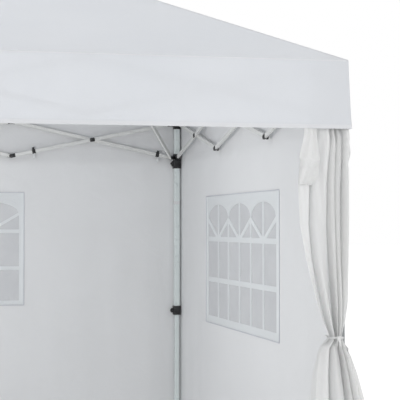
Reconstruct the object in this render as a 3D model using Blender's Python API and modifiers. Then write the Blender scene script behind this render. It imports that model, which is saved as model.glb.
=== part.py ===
"""Pop up canopy, 3.05 m square: a folding scissor frame with an umbrella roof, telescopic legs,
a fabric top with a valance, three fabric walls and two tied front curtains.

Metres, +Z up. The origin is on the ground, midway between the four feet. +X is to the right as
seen from the open front, which faces -Y.
"""

import math

import bmesh
import bpy
from mathutils import Matrix, Vector

# ---- Driving dimensions: the whole canopy ----
CANOPY_SIDE = 3.050
LEG_SPACING = 2.970
EAVE_Z = 2.005
PEAK_Z = 2.760
VALANCE_HEIGHT = 0.270
FABRIC_THICK = 0.002

# ---- Driving dimensions: scissor trusses, three crossed pairs on each side ----
PAIRS_PER_SIDE = 3
TOP_PIVOT_Z = 1.975
TRUSS_DEPTH = 0.2045
PIVOT_OFFSET = 0.038
FOLD_TRAVEL_DEG = 74.5
BAR_WIDTH = 0.020
BAR_THICK = 0.011
BAR_WALL = 0.001
BAR_PAST_PIVOT = 0.012
BAR_PLUG = 0.014
DRAIN_RADIUS = 0.0025

# ---- Driving dimensions: pivots shared by all the bars ----
PIN_RADIUS = 0.0040
EYE_RADIUS = 0.00475
PIN_SIDES = 8
HOLE_SIDES = 12
ROUND_SIDES = 16
HEAD_RADIUS = 0.0065
HEAD_THICK = 0.0022
SIDE_GAP = 0.0004
END_PLAY = 0.0003
CUT_PAST = 0.010

# ---- Driving dimensions: roof rafters, struts and hub ----
RAFTER_REACH = 0.048
RAFTER_PIVOT_Z = 2.005
HUB_PIVOT_RADIUS = 0.050
HUB_PIVOT_Z = 2.715
OUTER_RAFTER = 0.955
OUTER_FOLDED_DEG = -88.5
FORK_THICK = 0.004
FORK_HALF = 0.011
FORK_START = 0.014
FORK_PIN_PROUD = 0.001
HUB_RADIUS = 0.022
HUB_BODY_Z = (-0.026, 0.014)
HUB_NOSE_Z = (-0.036, -0.020)
HUB_NOSE = (0.012, 0.020)
HUB_DOME_Z = (0.008, 0.025)
HUB_DOME = (0.034, 0.014)
HUB_ARM_START = 0.010

# ---- Driving dimensions: legs ----
UPPER_TUBE = 0.032
UPPER_WALL = 0.0016
LOWER_TUBE = 0.026
LOWER_WALL = 0.0015
LOWER_TOP_Z = 1.050
TUBE_CORNER = 0.003
LUG_START = 0.012
BRACKET_HALF = 0.020
BRACKET_Z = (1.945, 2.000)
BRACKET_CORNER = 0.004
BRACKET_TOP = 0.005
BORE_BELOW_BRACKET = 0.010
SLIDER_HALF = 0.0205
SLIDER_CLEARANCE = 0.0004
SLIDER_BELOW = 0.065
SLIDER_ABOVE = 0.022
SLIDER_RIM = (0.002, 0.012)
SLIDER_BORE_REACH = 0.100
HOUSING_HALF = 0.022
HOUSING_Z = (0.817, 0.870)
HOUSING_CORNER = 0.005
BOSS_RADIUS = 0.0135
BOSS_START = 0.010
BOSS_REACH = 0.034
WELL_START = 0.018
WELL_CLEARANCE = 0.0006
BUTTON_RADIUS = 0.009
BUTTON_CHAMFER = (0.0015, 0.003)
BUTTON_STANDS_PROUD = 0.005
BUTTON_LENGTH = 0.015
HEIGHT_HOLE_TOP_Z = 0.800
HEIGHT_HOLE_PITCH = 0.065
HEIGHT_HOLES = 3
FOOT_PLATE = (0.062, 0.004)
FOOT_CORNER = 0.008
STAKE_HOLE = (0.0045, 0.010)
FOOT_INSET = 0.008
FOOT_SOCKET = (0.017, 0.024)

# ---- Driving dimensions: walls and curtains ----
WALL_PLANE = 1.513
WALL_THICK = 0.0015
WALL_Z = (0.020, 1.980)
WALL_HALF_WIDTH = 1.5122
SIDE_WALL_FRONT = 1.5075
CURTAIN_Y = (1.5085, 1.5220)
# Height, inner edge and outer edge of the gathered curtain, from the canopy's middle
CURTAIN_EDGES = (
    (1.975, 1.339, 1.522),
    (1.700, 1.332, 1.522),
    (1.400, 1.333, 1.520),
    (1.220, 1.358, 1.516),
    (1.070, 1.396, 1.512),
    (0.960, 1.434, 1.504),
    (0.920, 1.452, 1.494),
    (0.860, 1.437, 1.520),
    (0.680, 1.375, 1.565),
    (0.350, 1.325, 1.590),
    (0.020, 1.300, 1.600),
)

LEG_AT = LEG_SPACING / 2
ACROSS_TUBES = BAR_THICK + SIDE_GAP
LAYER = ACROSS_TUBES / 2
PIN_REACH = BAR_THICK / 2 + SIDE_GAP + BAR_THICK + END_PLAY
UP = Vector((0, 0, 1))

# Each leg's side of X and of Y
LEGS = {"back_left": (-1, 1), "back_right": (1, 1), "front_left": (-1, -1), "front_right": (1, -1)}
# Each side's first and last leg
SIDES = {
    "back": ("back_left", "back_right"),
    "left": ("back_left", "front_left"),
    "right": ("back_right", "front_right"),
    "front": ("front_left", "front_right"),
}


# ---- Geometry of the fold ----
def pair_width():
    """How far one crossed pair spans along its side when the canopy stands open."""
    return (LEG_SPACING - 2 * PIVOT_OFFSET) / PAIRS_PER_SIDE


def bar_length():
    return math.hypot(pair_width(), TRUSS_DEPTH)


def bar_angle(folded=False):
    """A bar's slope, open or folded."""
    travel = math.radians(FOLD_TRAVEL_DEG) if folded else 0.0
    return math.atan2(TRUSS_DEPTH, pair_width()) + travel


def slider_z(folded=False):
    return TOP_PIVOT_Z - bar_length() * math.sin(bar_angle(folded))


def roof_linkage():
    """Lengths and angles of one corner's rafters and strut.

    The strut holds the outer rafter at two known poses, open and folded, which fixes where it
    meets the rafter and how long it is. The folded angle of the inner rafter follows from the
    hub staying over the middle of the folded legs.
    """
    reach = LEG_AT * math.sqrt(2) - RAFTER_REACH - HUB_PIVOT_RADIUS
    rise = HUB_PIVOT_Z - RAFTER_PIVOT_Z
    slope = math.atan2(rise, reach)
    inner = math.hypot(reach, rise) - OUTER_RAFTER
    folded = math.radians(OUTER_FOLDED_DEG)
    high = RAFTER_PIVOT_Z - slider_z()
    low = RAFTER_PIVOT_Z - slider_z(folded=True)
    strut_at = (low**2 - high**2) / (2 * (high * math.sin(slope) - low * math.sin(folded)))
    strut = math.sqrt(strut_at**2 + high**2 + 2 * strut_at * high * math.sin(slope))
    folded_spacing = PAIRS_PER_SIDE * bar_length() * math.cos(bar_angle(True)) + 2 * PIVOT_OFFSET
    folded_reach = folded_spacing / math.sqrt(2) - RAFTER_REACH - HUB_PIVOT_RADIUS
    inner_folded = math.acos((folded_reach - OUTER_RAFTER * math.cos(folded)) / inner)
    return {
        "slope": slope,
        "inner": inner,
        "strut_at": strut_at,
        "strut": strut,
        "strut_slope": math.acos(strut_at * math.cos(slope) / strut),
        "outer_folded": folded,
        "inner_folded": inner_folded,
        "strut_folded": math.acos(strut_at * math.cos(folded) / strut),
    }


def leg_point(leg, z=0.0):
    sx, sy = LEGS[leg]
    return Vector((sx * LEG_AT, sy * LEG_AT, z))


def side_axes(side):
    """A side's direction from its first leg to its last, and its outward normal."""
    first, last = (leg_point(leg) for leg in SIDES[side])
    return (last - first).normalized(), ((first + last) / 2).normalized()


def inward(leg):
    """The level direction from a leg to the middle of the canopy."""
    return -leg_point(leg).normalized()


def pivot_point(side, station, top):
    """A truss pivot on the side's centre plane. Station 0 is at the first leg."""
    along, _ = side_axes(side)
    z = TOP_PIVOT_Z if top else slider_z()
    return leg_point(SIDES[side][0], z) + along * (PIVOT_OFFSET + station * pair_width())


# ---- Modelling helpers ----
def clear_scene():
    for item in list(bpy.data.objects):
        bpy.data.objects.remove(item, do_unlink=True)


def new_collection(name):
    collection = bpy.data.collections.new(name)
    bpy.context.scene.collection.children.link(collection)
    return collection


def material(name, colour, roughness, metallic=0.0):
    found = bpy.data.materials.get(name)
    if found:
        return found
    made = bpy.data.materials.new(name)
    made.use_nodes = True
    shader = made.node_tree.nodes["Principled BSDF"]
    shader.inputs["Base Color"].default_value = (*colour, 1.0)
    shader.inputs["Roughness"].default_value = roughness
    shader.inputs["Metallic"].default_value = metallic
    return made


def guide(mesh):
    """A loose shape that later becomes part of a piece, or a cutter."""
    shape = bpy.data.objects.new(mesh.name, mesh)
    shape.hide_render = True
    shape.display_type = "WIRE"
    bpy.data.collections["cutters"].objects.link(shape)
    return shape


def from_bmesh(bm, name):
    mesh = bpy.data.meshes.new(name)
    bm.to_mesh(mesh)
    bm.free()
    return guide(mesh)


def box(low, high, corner=0.0):
    """A box between two corners. Its upright edges are rounded by the corner radius."""
    low, high = Vector(low), Vector(high)
    bm = bmesh.new()
    bmesh.ops.create_cube(bm, size=1.0)
    bmesh.ops.scale(bm, vec=high - low, verts=bm.verts)
    bmesh.ops.translate(bm, vec=(low + high) / 2, verts=bm.verts)
    if corner:
        upright = [e for e in bm.edges if abs(e.verts[0].co.z - e.verts[1].co.z) > 1e-6]
        bmesh.ops.bevel(bm, geom=upright, offset=corner, segments=2, profile=0.5, affect="EDGES")
    return from_bmesh(bm, "box")


def column(centre, half, z_range, corner=0.0):
    """An upright square column around a point."""
    low = (centre.x - half, centre.y - half, z_range[0])
    high = (centre.x + half, centre.y + half, z_range[1])
    return box(low, high, corner)


def rod(start, end, radius, end_radius=None, sides=PIN_SIDES):
    """A round rod, or a cone where the end's radius differs."""
    start, end = Vector(start), Vector(end)
    turn = UP.rotation_difference(end - start).to_matrix().to_4x4()
    bm = bmesh.new()
    bmesh.ops.create_cone(
        bm,
        cap_ends=True,
        segments=sides,
        radius1=radius,
        radius2=radius if end_radius is None else end_radius,
        depth=(end - start).length,
        matrix=Matrix.Translation((start + end) / 2) @ turn,
    )
    return from_bmesh(bm, "rod")


def arc(centre, radius, start_deg, end_deg, steps):
    for step in range(steps + 1):
        angle = math.radians(start_deg + (end_deg - start_deg) * step / steps)
        yield centre[0] + radius * math.cos(angle), centre[1] + radius * math.sin(angle)


def round_ended(start, end, radius, steps=5):
    """The outline of a bar with half-round ends."""
    return [*arc((end, 0), radius, -90, 90, steps), *arc((start, 0), radius, 90, 270, steps)]


def circle(centre, radius, sides=PIN_SIDES):
    points = list(arc(centre, radius, 0, 360, sides))
    return points[:-1]


def plate(outlines, thickness, frame):
    """A flat plate from closed outlines, the first one outside and the others holes.

    The outlines lie in the frame's X and Z, and the thickness is centred on its Y.
    """
    curve = bpy.data.curves.new("outline", "CURVE")
    curve.dimensions = "2D"
    curve.fill_mode = "BOTH"
    curve.extrude = thickness / 2
    for points in outlines:
        spline = curve.splines.new("POLY")
        spline.points.add(len(points) - 1)
        for point, (x, y) in zip(spline.points, points):
            point.co = (x, y, 0.0, 1.0)
        spline.use_cyclic_u = True
    flat = bpy.data.objects.new("outline", curve)
    bpy.data.collections["cutters"].objects.link(flat)
    mesh = bpy.data.meshes.new_from_object(flat.evaluated_get(bpy.context.evaluated_depsgraph_get()))
    bpy.data.objects.remove(flat)
    bm = bmesh.new()
    bm.from_mesh(mesh)
    bmesh.ops.remove_doubles(bm, verts=bm.verts, dist=1e-6)
    bm.to_mesh(mesh)
    bm.free()
    mesh.transform(frame @ Matrix.Rotation(math.radians(90), 4, "X"))
    return guide(mesh)


def frame_at(origin, along, thickness_axis):
    """A frame whose X runs along a bar and whose Y is its thickness."""
    x, y = along.normalized(), thickness_axis.normalized()
    turn = Matrix((x, y, x.cross(y))).transposed().to_4x4()
    return Matrix.Translation(origin) @ turn


def combine(base, add=(), cut=()):
    """One solid: the base joined with some shapes, then cut by others."""
    for operation, shapes in (("UNION", add), ("DIFFERENCE", cut)):
        for shape in shapes:
            modifier = base.modifiers.new(operation.title(), "BOOLEAN")
            modifier.operation = operation
            modifier.object = shape
    bpy.context.view_layer.update()
    evaluated = base.evaluated_get(bpy.context.evaluated_depsgraph_get())
    mesh = bpy.data.meshes.new_from_object(evaluated)
    for shape in (base, *add, *cut):
        bpy.data.objects.remove(shape)
    return guide(mesh)


def shade(mesh):
    mesh.shade_smooth()
    mesh.set_sharp_from_angle(angle=math.radians(35))


def piece(name, solid, origin, finish, modelled_at=Vector()):
    """A finished piece, with its origin on its joint's axis.

    A leg's pieces are modelled round the upright axis through modelled_at, the others in place.
    """
    solid.data.transform(Matrix.Translation(modelled_at - origin))
    return placed(name, take_mesh(solid), Matrix.Translation(origin), finish)


def take_mesh(solid):
    """The mesh of a shape, which is itself removed."""
    mesh = solid.data
    bpy.data.objects.remove(solid)
    shade(mesh)
    return mesh


def placed(name, mesh, frame, finish):
    made = bpy.data.objects.new(name, mesh)
    if not mesh.materials:
        mesh.materials.append(finish)
    made.matrix_world = frame
    bpy.data.collections["pop_up_canopy"].objects.link(made)
    return made


# ---- Finishes ----
def bar_finish():
    return material("truss_steel", (0.47, 0.47, 0.44), 0.45, 0.6)


def leg_finish():
    return material("leg_steel", (0.50, 0.55, 0.54), 0.40, 0.6)


def plastic_finish():
    return material("black_plastic", (0.012, 0.012, 0.013), 0.5)


def fabric_finish():
    return material("white_polyester", (0.72, 0.73, 0.74), 0.8)


# ---- Bars ----
def pivot_pin(at, along):
    """A riveted pin with its head, from a bar's centre plane out through the next bar."""
    reach = at + along * PIN_REACH
    return [
        rod(at, reach + along * HEAD_THICK / 2, PIN_RADIUS),
        rod(reach, reach + along * HEAD_THICK, HEAD_RADIUS),
    ]


def bar(start, end, eyes=(), pins=(), hollow=()):
    """A tube with half-round plugged ends, along X with its thickness on Y.

    Eyes are the holes that another piece's pin passes through, pins are riveted to the bar, and
    hollow holds the stretches where the tube is open inside. A stretch without an eye has a
    small drain hole in its back.
    """
    half = BAR_WIDTH / 2
    past = BAR_PAST_PIVOT - half
    outline = round_ended(start - past, end + past, half)
    solid = plate([outline, *(circle((x, 0), EYE_RADIUS) for x in eyes)], BAR_THICK, Matrix())
    cuts = []
    for low, high in hollow:
        inner, thin = half - BAR_WALL, BAR_THICK / 2 - BAR_WALL
        cuts.append(box((low, -thin, -inner), (high, thin, inner)))
        if not any(low < x < high for x in eyes):
            drain = (low + high) / 2
            cuts.append(rod((drain, -BAR_THICK, 0), (drain, 0, 0), DRAIN_RADIUS, sides=6))
    adds = []
    for x in pins:
        adds += pivot_pin(Vector((x, 0, 0)), Vector((0, 1, 0)))
    return take_mesh(combine(solid, adds, cuts))


def add_trusses():
    """Three crossed pairs on each side. A falling bar lies outside, and the rising bar that
    crosses it lies inside and carries the three pins."""
    length = bar_length()
    clear = BAR_PLUG
    falling = bar(0, length, eyes=(0, length / 2, length), hollow=[(clear, length - clear)])
    half = length / 2
    rising = bar(
        -half,
        half,
        pins=(-half, 0, half),
        hollow=[(clear - half, -clear), (clear, half - clear)],
    )
    for side in SIDES:
        _, outward = side_axes(side)
        for pair in range(PAIRS_PER_SIDE):
            start, end = pivot_point(side, pair, True), pivot_point(side, pair + 1, False)
            frame = frame_at(start + outward * LAYER, end - start, outward)
            placed(f"{side}_falling_bar_{pair + 1}", falling, frame, bar_finish())
            start, end = pivot_point(side, pair, False), pivot_point(side, pair + 1, True)
            frame = frame_at((start + end) / 2 - outward * LAYER, end - start, outward)
            placed(f"{side}_rising_bar_{pair + 1}", rising, frame, bar_finish())


def add_roof_frame():
    """Outer and inner rafters, struts and the hub. The outer rafter lies on its corner's
    diagonal, the inner rafter beside it on one hand and the strut on the other."""
    link = roof_linkage()
    clear = BAR_PLUG
    inner_mesh, strut_mesh = (
        bar(0, link[name], eyes=(0, link[name]), hollow=[(clear, link[name] - clear)])
        for name in ("inner", "strut")
    )
    joint = link["strut_at"]
    for leg in LEGS:
        toward = inward(leg)
        beside = UP.cross(toward)
        rafter = toward * math.cos(link["slope"]) + UP * math.sin(link["slope"])
        pivot = leg_point(leg, RAFTER_PIVOT_Z) + toward * RAFTER_REACH
        knuckle = pivot + rafter * OUTER_RAFTER
        hub_pivot = knuckle + rafter * link["inner"]
        pinned = leg == "back_left"
        eyes = (0, joint) if pinned else (0, joint, OUTER_RAFTER)
        outer_mesh = bar(
            0,
            OUTER_RAFTER,
            eyes=eyes,
            pins=(OUTER_RAFTER,) if pinned else (),
            hollow=[(clear, joint - clear), (joint + clear, OUTER_RAFTER - clear)],
        )
        placed(f"{leg}_outer_rafter", outer_mesh, frame_at(pivot, rafter, beside), bar_finish())
        if pinned:
            frame = frame_at(knuckle + beside * ACROSS_TUBES, rafter, beside)
        else:
            frame = frame_at(hub_pivot + beside * ACROSS_TUBES, -rafter, -beside)
        placed(f"{leg}_inner_rafter", inner_mesh, frame, bar_finish())
        foot = leg_point(leg, slider_z()) + toward * RAFTER_REACH - beside * ACROSS_TUBES
        rising = toward * math.cos(link["strut_slope"]) + UP * math.sin(link["strut_slope"])
        placed(f"{leg}_strut", strut_mesh, frame_at(foot, rising, beside), bar_finish())


def add_hub():
    """Four arms on the diagonals, each with a pin for its inner rafter, under a low dome."""
    centre = Vector((0, 0, HUB_PIVOT_Z))

    def turned(z_range, *radii):
        return rod(centre + UP * z_range[0], centre + UP * z_range[1], *radii, sides=ROUND_SIDES)

    body = turned(HUB_BODY_Z, HUB_RADIUS)
    shapes = [turned(HUB_NOSE_Z, *HUB_NOSE), turned(HUB_DOME_Z, *HUB_DOME)]
    for leg in LEGS:
        outward = -inward(leg)
        beside = UP.cross(inward(leg))
        frame = frame_at(centre, outward, beside)
        arm = round_ended(HUB_ARM_START, HUB_PIVOT_RADIUS, BAR_WIDTH / 2)
        shapes.append(plate([arm], BAR_THICK, frame))
        shapes += pivot_pin(centre + outward * HUB_PIVOT_RADIUS, beside)
    origin = centre - inward("back_left") * HUB_PIVOT_RADIUS
    piece("roof_hub", combine(body, shapes), origin, plastic_finish())


# ---- Legs ----
def truss_lug(leg, side, z):
    """The lug that joins one side's truss to a leg's bracket or slider.

    At the side's first leg the bar lies outside a pin on the lug, and at its last leg the bar's
    own pin passes through an eye in the lug.
    """
    along, outward = side_axes(side)
    first = leg == SIDES[side][0]
    # A bracket takes a falling bar at the first leg and a rising bar at the last one
    falling = first == (z == TOP_PIVOT_Z)
    direction = along if first else -along
    layer = -LAYER if falling else LAYER
    frame = frame_at(UP * z + outward * layer, direction, outward)
    outlines = [round_ended(LUG_START, PIVOT_OFFSET, BAR_WIDTH / 2)]
    if not falling:
        outlines.append(circle((PIVOT_OFFSET, 0), EYE_RADIUS))
    shapes = [plate(outlines, BAR_THICK, frame)]
    if falling:
        shapes += pivot_pin(frame @ Vector((PIVOT_OFFSET, 0, 0)), outward)
    return shapes


def sides_of(leg):
    return [side for side, ends in SIDES.items() if leg in ends]


def leg_origin(leg):
    """A leg turns about the top pivot of the truss that carries it, and the first leg stands."""
    carrier = {"back_right": "back", "front_left": "left", "front_right": "right"}.get(leg)
    if carrier is None:
        return leg_point(leg)
    return pivot_point(carrier, PAIRS_PER_SIDE, True)


def slider_origin(leg):
    carrier = {"back_left": ("back", 0), "front_left": ("left", 3), "front_right": ("right", 3)}
    side, station = carrier.get(leg, ("back", 3))
    return pivot_point(side, station, False)


def press_direction(leg):
    """The lock button faces the middle along X, and is pressed towards its leg."""
    return Vector((LEGS[leg][0], 0, 0))


def add_upper_leg(leg):
    """The outer tube with the truss bracket and rafter fork on top and the lock housing below."""
    centre = Vector()
    toward = inward(leg)
    beside = UP.cross(toward)
    half = UPPER_TUBE / 2
    base = column(centre, half, (HOUSING_Z[0], BRACKET_Z[1] - BRACKET_TOP), TUBE_CORNER)
    shapes = [column(centre, BRACKET_HALF, BRACKET_Z, BRACKET_CORNER)]
    for side in sides_of(leg):
        shapes += truss_lug(leg, side, TOP_PIVOT_Z)
    fork_at = UP * RAFTER_PIVOT_Z
    for hand in (-1, 1):
        offset = beside * hand * (BAR_THICK / 2 + SIDE_GAP + FORK_THICK / 2)
        frame = frame_at(fork_at + offset, toward, beside)
        shapes.append(plate([round_ended(FORK_START, RAFTER_REACH, FORK_HALF)], FORK_THICK, frame))
    pin_at = fork_at + toward * RAFTER_REACH
    pin_half = beside * (BAR_THICK / 2 + SIDE_GAP + FORK_THICK + FORK_PIN_PROUD)
    shapes.append(rod(pin_at - pin_half, pin_at + pin_half, PIN_RADIUS))
    shapes.append(column(centre, HOUSING_HALF, HOUSING_Z, HOUSING_CORNER))
    press = press_direction(leg)
    middle = UP * (sum(HOUSING_Z) / 2)
    boss = (middle - press * BOSS_START, middle - press * BOSS_REACH)
    shapes.append(rod(*boss, BOSS_RADIUS, sides=ROUND_SIDES))
    bore = half - UPPER_WALL
    well = (middle - press * WELL_START, middle - press * (BOSS_REACH + CUT_PAST))
    cuts = [
        column(centre, bore, (HOUSING_Z[0] - CUT_PAST, BRACKET_Z[0] - BORE_BELOW_BRACKET)),
        rod(*well, BUTTON_RADIUS + WELL_CLEARANCE, sides=ROUND_SIDES),
    ]
    solid = combine(base, shapes, cuts)
    piece(f"{leg}_upper_leg", solid, leg_origin(leg), leg_finish(), leg_point(leg))


def add_lower_leg(leg):
    """The inner tube with its height holes, and a foot plate set inwards with a stake hole."""
    centre = Vector()
    sx, sy = LEGS[leg]
    half = LOWER_TUBE / 2
    plate_half, plate_thick = FOOT_PLATE[0] / 2, FOOT_PLATE[1]
    middle = centre - Vector((sx, sy, 0)) * FOOT_INSET
    base = column(middle, plate_half, (0, plate_thick), FOOT_CORNER)
    shapes = [
        column(centre, FOOT_SOCKET[0], (plate_thick / 2, FOOT_SOCKET[1]), BRACKET_CORNER),
        column(centre, half, (plate_thick / 2, LOWER_TOP_Z), TUBE_CORNER),
    ]
    stake_radius, stake_inset = STAKE_HOLE
    stake = middle - Vector((sx, sy, 0)) * (plate_half - stake_inset)
    bore = half - LOWER_WALL
    cuts = [
        column(centre, bore, (FOOT_SOCKET[1] / 2, LOWER_TOP_Z + CUT_PAST)),
        rod(stake - UP * CUT_PAST, stake + UP * CUT_PAST, stake_radius, sides=HOLE_SIDES),
    ]
    inner_face = -press_direction(leg)
    for hole in range(HEIGHT_HOLES):
        at = UP * (HEIGHT_HOLE_TOP_Z - hole * HEIGHT_HOLE_PITCH)
        cuts.append(rod(at, at + inner_face * LOWER_TUBE, PIN_RADIUS, sides=HOLE_SIDES))
    solid = combine(base, shapes, cuts)
    piece(f"{leg}_lower_leg", solid, leg_point(leg), leg_finish(), leg_point(leg))


def add_slider(leg):
    """The sleeve that slides on the outer tube and carries both trusses and the strut."""
    centre = Vector()
    toward = inward(leg)
    beside = UP.cross(toward)
    z = slider_z()
    bottom, top = z - SLIDER_BELOW, z + SLIDER_ABOVE
    base = column(centre, SLIDER_HALF, (bottom, top), BRACKET_CORNER)
    proud, tall = SLIDER_RIM
    shapes = [column(centre, SLIDER_HALF + proud, (bottom, bottom + tall), HOUSING_CORNER)]
    for side in sides_of(leg):
        shapes += truss_lug(leg, side, z)
    at = UP * z
    strut_lug = round_ended(FORK_START, RAFTER_REACH, BAR_WIDTH / 2)
    shapes.append(plate([strut_lug], BAR_THICK, frame_at(at, toward, beside)))
    shapes += pivot_pin(at + toward * RAFTER_REACH, -beside)
    bore = UPPER_TUBE / 2 + SLIDER_CLEARANCE
    cuts = [column(centre, bore, (z - SLIDER_BORE_REACH, z + SLIDER_BORE_REACH))]
    solid = combine(base, shapes, cuts)
    piece(f"{leg}_slider", solid, slider_origin(leg), plastic_finish(), leg_point(leg))


def add_button(leg):
    """The spring button that frees the lower leg."""
    press = press_direction(leg)
    face = leg_point(leg, sum(HOUSING_Z) / 2) - press * (BOSS_REACH + BUTTON_STANDS_PROUD)
    narrower, deep = BUTTON_CHAMFER
    back = face + press * BUTTON_LENGTH
    body = rod(face + press * narrower, back, BUTTON_RADIUS, sides=ROUND_SIDES)
    radii = (BUTTON_RADIUS - narrower, BUTTON_RADIUS)
    crown = rod(face, face + press * deep, *radii, sides=ROUND_SIDES)
    piece(f"{leg}_leg_button", combine(body, [crown]), face, plastic_finish())


# ---- Fabric ----
def add_canopy_top():
    """The four-sided roof with its valance, one sewn skin."""
    half = CANOPY_SIDE / 2
    bm = bmesh.new()
    bmesh.ops.create_cone(
        bm,
        cap_ends=False,
        segments=4,
        radius1=half * math.sqrt(2),
        radius2=0.0,
        depth=PEAK_Z - EAVE_Z,
        matrix=Matrix.Translation((0, 0, (PEAK_Z + EAVE_Z) / 2)) @ Matrix.Rotation(math.pi / 4, 4, "Z"),
    )
    bmesh.ops.remove_doubles(bm, verts=bm.verts, dist=1e-5)
    eave = [e for e in bm.edges if e.is_boundary]
    skirt = bmesh.ops.extrude_edge_only(bm, edges=eave)["geom"]
    corners = [v for v in skirt if isinstance(v, bmesh.types.BMVert)]
    bmesh.ops.translate(bm, vec=(0, 0, -VALANCE_HEIGHT), verts=corners)
    bmesh.ops.recalc_face_normals(bm, faces=bm.faces)
    skin = from_bmesh(bm, "skin")
    shell = skin.modifiers.new("Cloth", "SOLIDIFY")
    shell.thickness = FABRIC_THICK
    shell.offset = -1.0
    shell.use_even_offset = True
    piece("canopy_top", combine(skin), Vector((0, 0, EAVE_Z)), fabric_finish())


def add_walls():
    near, far = WALL_PLANE, WALL_PLANE + WALL_THICK
    low, high = WALL_Z
    width = WALL_HALF_WIDTH
    back = box((-width, near, low), (width, far, high))
    piece("back_wall", back, Vector((0, near, high)), fabric_finish())
    for name, hand in (("left_wall", -1), ("right_wall", 1)):
        x_low, x_high = sorted((hand * near, hand * far))
        side = box((x_low, -SIDE_WALL_FRONT, low), (x_high, width, high))
        piece(name, side, Vector((hand * near, 0, high)), fabric_finish())


def add_curtains():
    """Half of the front wall on each side, drawn to its leg and tied round it."""
    middle = -sum(CURTAIN_Y) / 2
    for name, hand in (("left_curtain", -1), ("right_curtain", 1)):
        inner = [(hand * x, z) for z, x, _ in CURTAIN_EDGES]
        outer = [(hand * x, z) for z, _, x in reversed(CURTAIN_EDGES)]
        frame = Matrix.Translation((0, middle, 0))
        solid = plate([inner + outer], CURTAIN_Y[1] - CURTAIN_Y[0], frame)
        origin = Vector((hand * LEG_AT, middle, WALL_Z[1]))
        piece(name, solid, origin, fabric_finish())


def main():
    clear_scene()
    new_collection("pop_up_canopy")
    new_collection("cutters")
    for leg in LEGS:
        add_upper_leg(leg)
        add_lower_leg(leg)
        add_slider(leg)
        add_button(leg)
    add_trusses()
    add_roof_frame()
    add_hub()
    add_canopy_top()
    add_walls()
    add_curtains()


main()
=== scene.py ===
"""Looks of a square pop up canopy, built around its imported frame.

Metres, +Z up. The open front faces -Y, and +X is to the right of someone who stands before it.
"""

import logging
import math
from dataclasses import dataclass, field
from enum import Enum
from typing import Any, Callable, Sequence

import bmesh
import bpy
import numpy as np
from mathutils import Matrix, Vector


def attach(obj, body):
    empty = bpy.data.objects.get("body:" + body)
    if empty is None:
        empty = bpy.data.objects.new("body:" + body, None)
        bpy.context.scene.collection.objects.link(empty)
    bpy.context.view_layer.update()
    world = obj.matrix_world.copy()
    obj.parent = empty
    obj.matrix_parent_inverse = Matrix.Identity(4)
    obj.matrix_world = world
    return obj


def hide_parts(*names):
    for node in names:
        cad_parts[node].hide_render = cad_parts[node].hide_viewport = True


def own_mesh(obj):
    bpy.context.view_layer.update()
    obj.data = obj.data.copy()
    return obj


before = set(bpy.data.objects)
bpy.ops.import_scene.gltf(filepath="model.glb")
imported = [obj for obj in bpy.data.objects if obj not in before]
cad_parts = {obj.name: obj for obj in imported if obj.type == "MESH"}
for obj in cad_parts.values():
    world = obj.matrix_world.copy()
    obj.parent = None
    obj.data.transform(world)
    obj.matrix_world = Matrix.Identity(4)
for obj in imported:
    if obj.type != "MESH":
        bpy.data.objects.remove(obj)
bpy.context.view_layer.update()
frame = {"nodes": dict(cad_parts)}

SOFT_ANGLE = 50.0
UP = Vector((0, 0, 1))
WEAVE = "cloth"
LOG = logging.getLogger("pop_up_canopy")

Rule = Callable[[np.ndarray, np.ndarray], np.ndarray]
Colour = tuple[float, float, float]


# ---- The canopy's plan ----
class Leg(Enum):
    """A leg, with its side of X and of Y."""

    BACK_LEFT = ("back_left", -1, 1)
    BACK_RIGHT = ("back_right", 1, 1)
    FRONT_LEFT = ("front_left", -1, -1)
    FRONT_RIGHT = ("front_right", 1, -1)

    @property
    def title(self) -> str:
        """The leg's name in the frame."""
        return self.value[0]

    @property
    def body(self) -> str:
        """The body that the leg's fixed pieces ride on."""
        return f"{self.title}_leg"

    @property
    def hand(self) -> Vector:
        """The signs of the leg's X and Y."""
        return Vector((self.value[1], self.value[2], 0))

    @property
    def inward(self) -> Vector:
        """The level direction to the canopy's middle."""
        return -self.hand.normalized()

    @property
    def beside(self) -> Vector:
        """The level direction across the corner's rafters."""
        return UP.cross(self.inward)


class Side(Enum):
    """A side, with its outward direction and its first and last leg."""

    BACK = ("back", (0, 1, 0), Leg.BACK_LEFT, Leg.BACK_RIGHT)
    LEFT = ("left", (-1, 0, 0), Leg.BACK_LEFT, Leg.FRONT_LEFT)
    RIGHT = ("right", (1, 0, 0), Leg.BACK_RIGHT, Leg.FRONT_RIGHT)
    FRONT = ("front", (0, -1, 0), Leg.FRONT_LEFT, Leg.FRONT_RIGHT)

    @property
    def title(self) -> str:
        """The side's name in the frame."""
        return self.value[0]

    @property
    def outward(self) -> Vector:
        """The side's level outward direction."""
        return Vector(self.value[1])

    @property
    def legs(self) -> tuple[Leg, Leg]:
        """The side's first and last leg."""
        return self.value[2], self.value[3]

    def toward(self, leg: Leg) -> Vector:
        """The level direction along the side from its middle to a leg.

        Args:
            leg: One of the side's two legs.

        Returns:
            A unit vector.
        """
        along = leg.hand - self.outward * leg.hand.dot(self.outward)
        return along.normalized()


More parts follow.
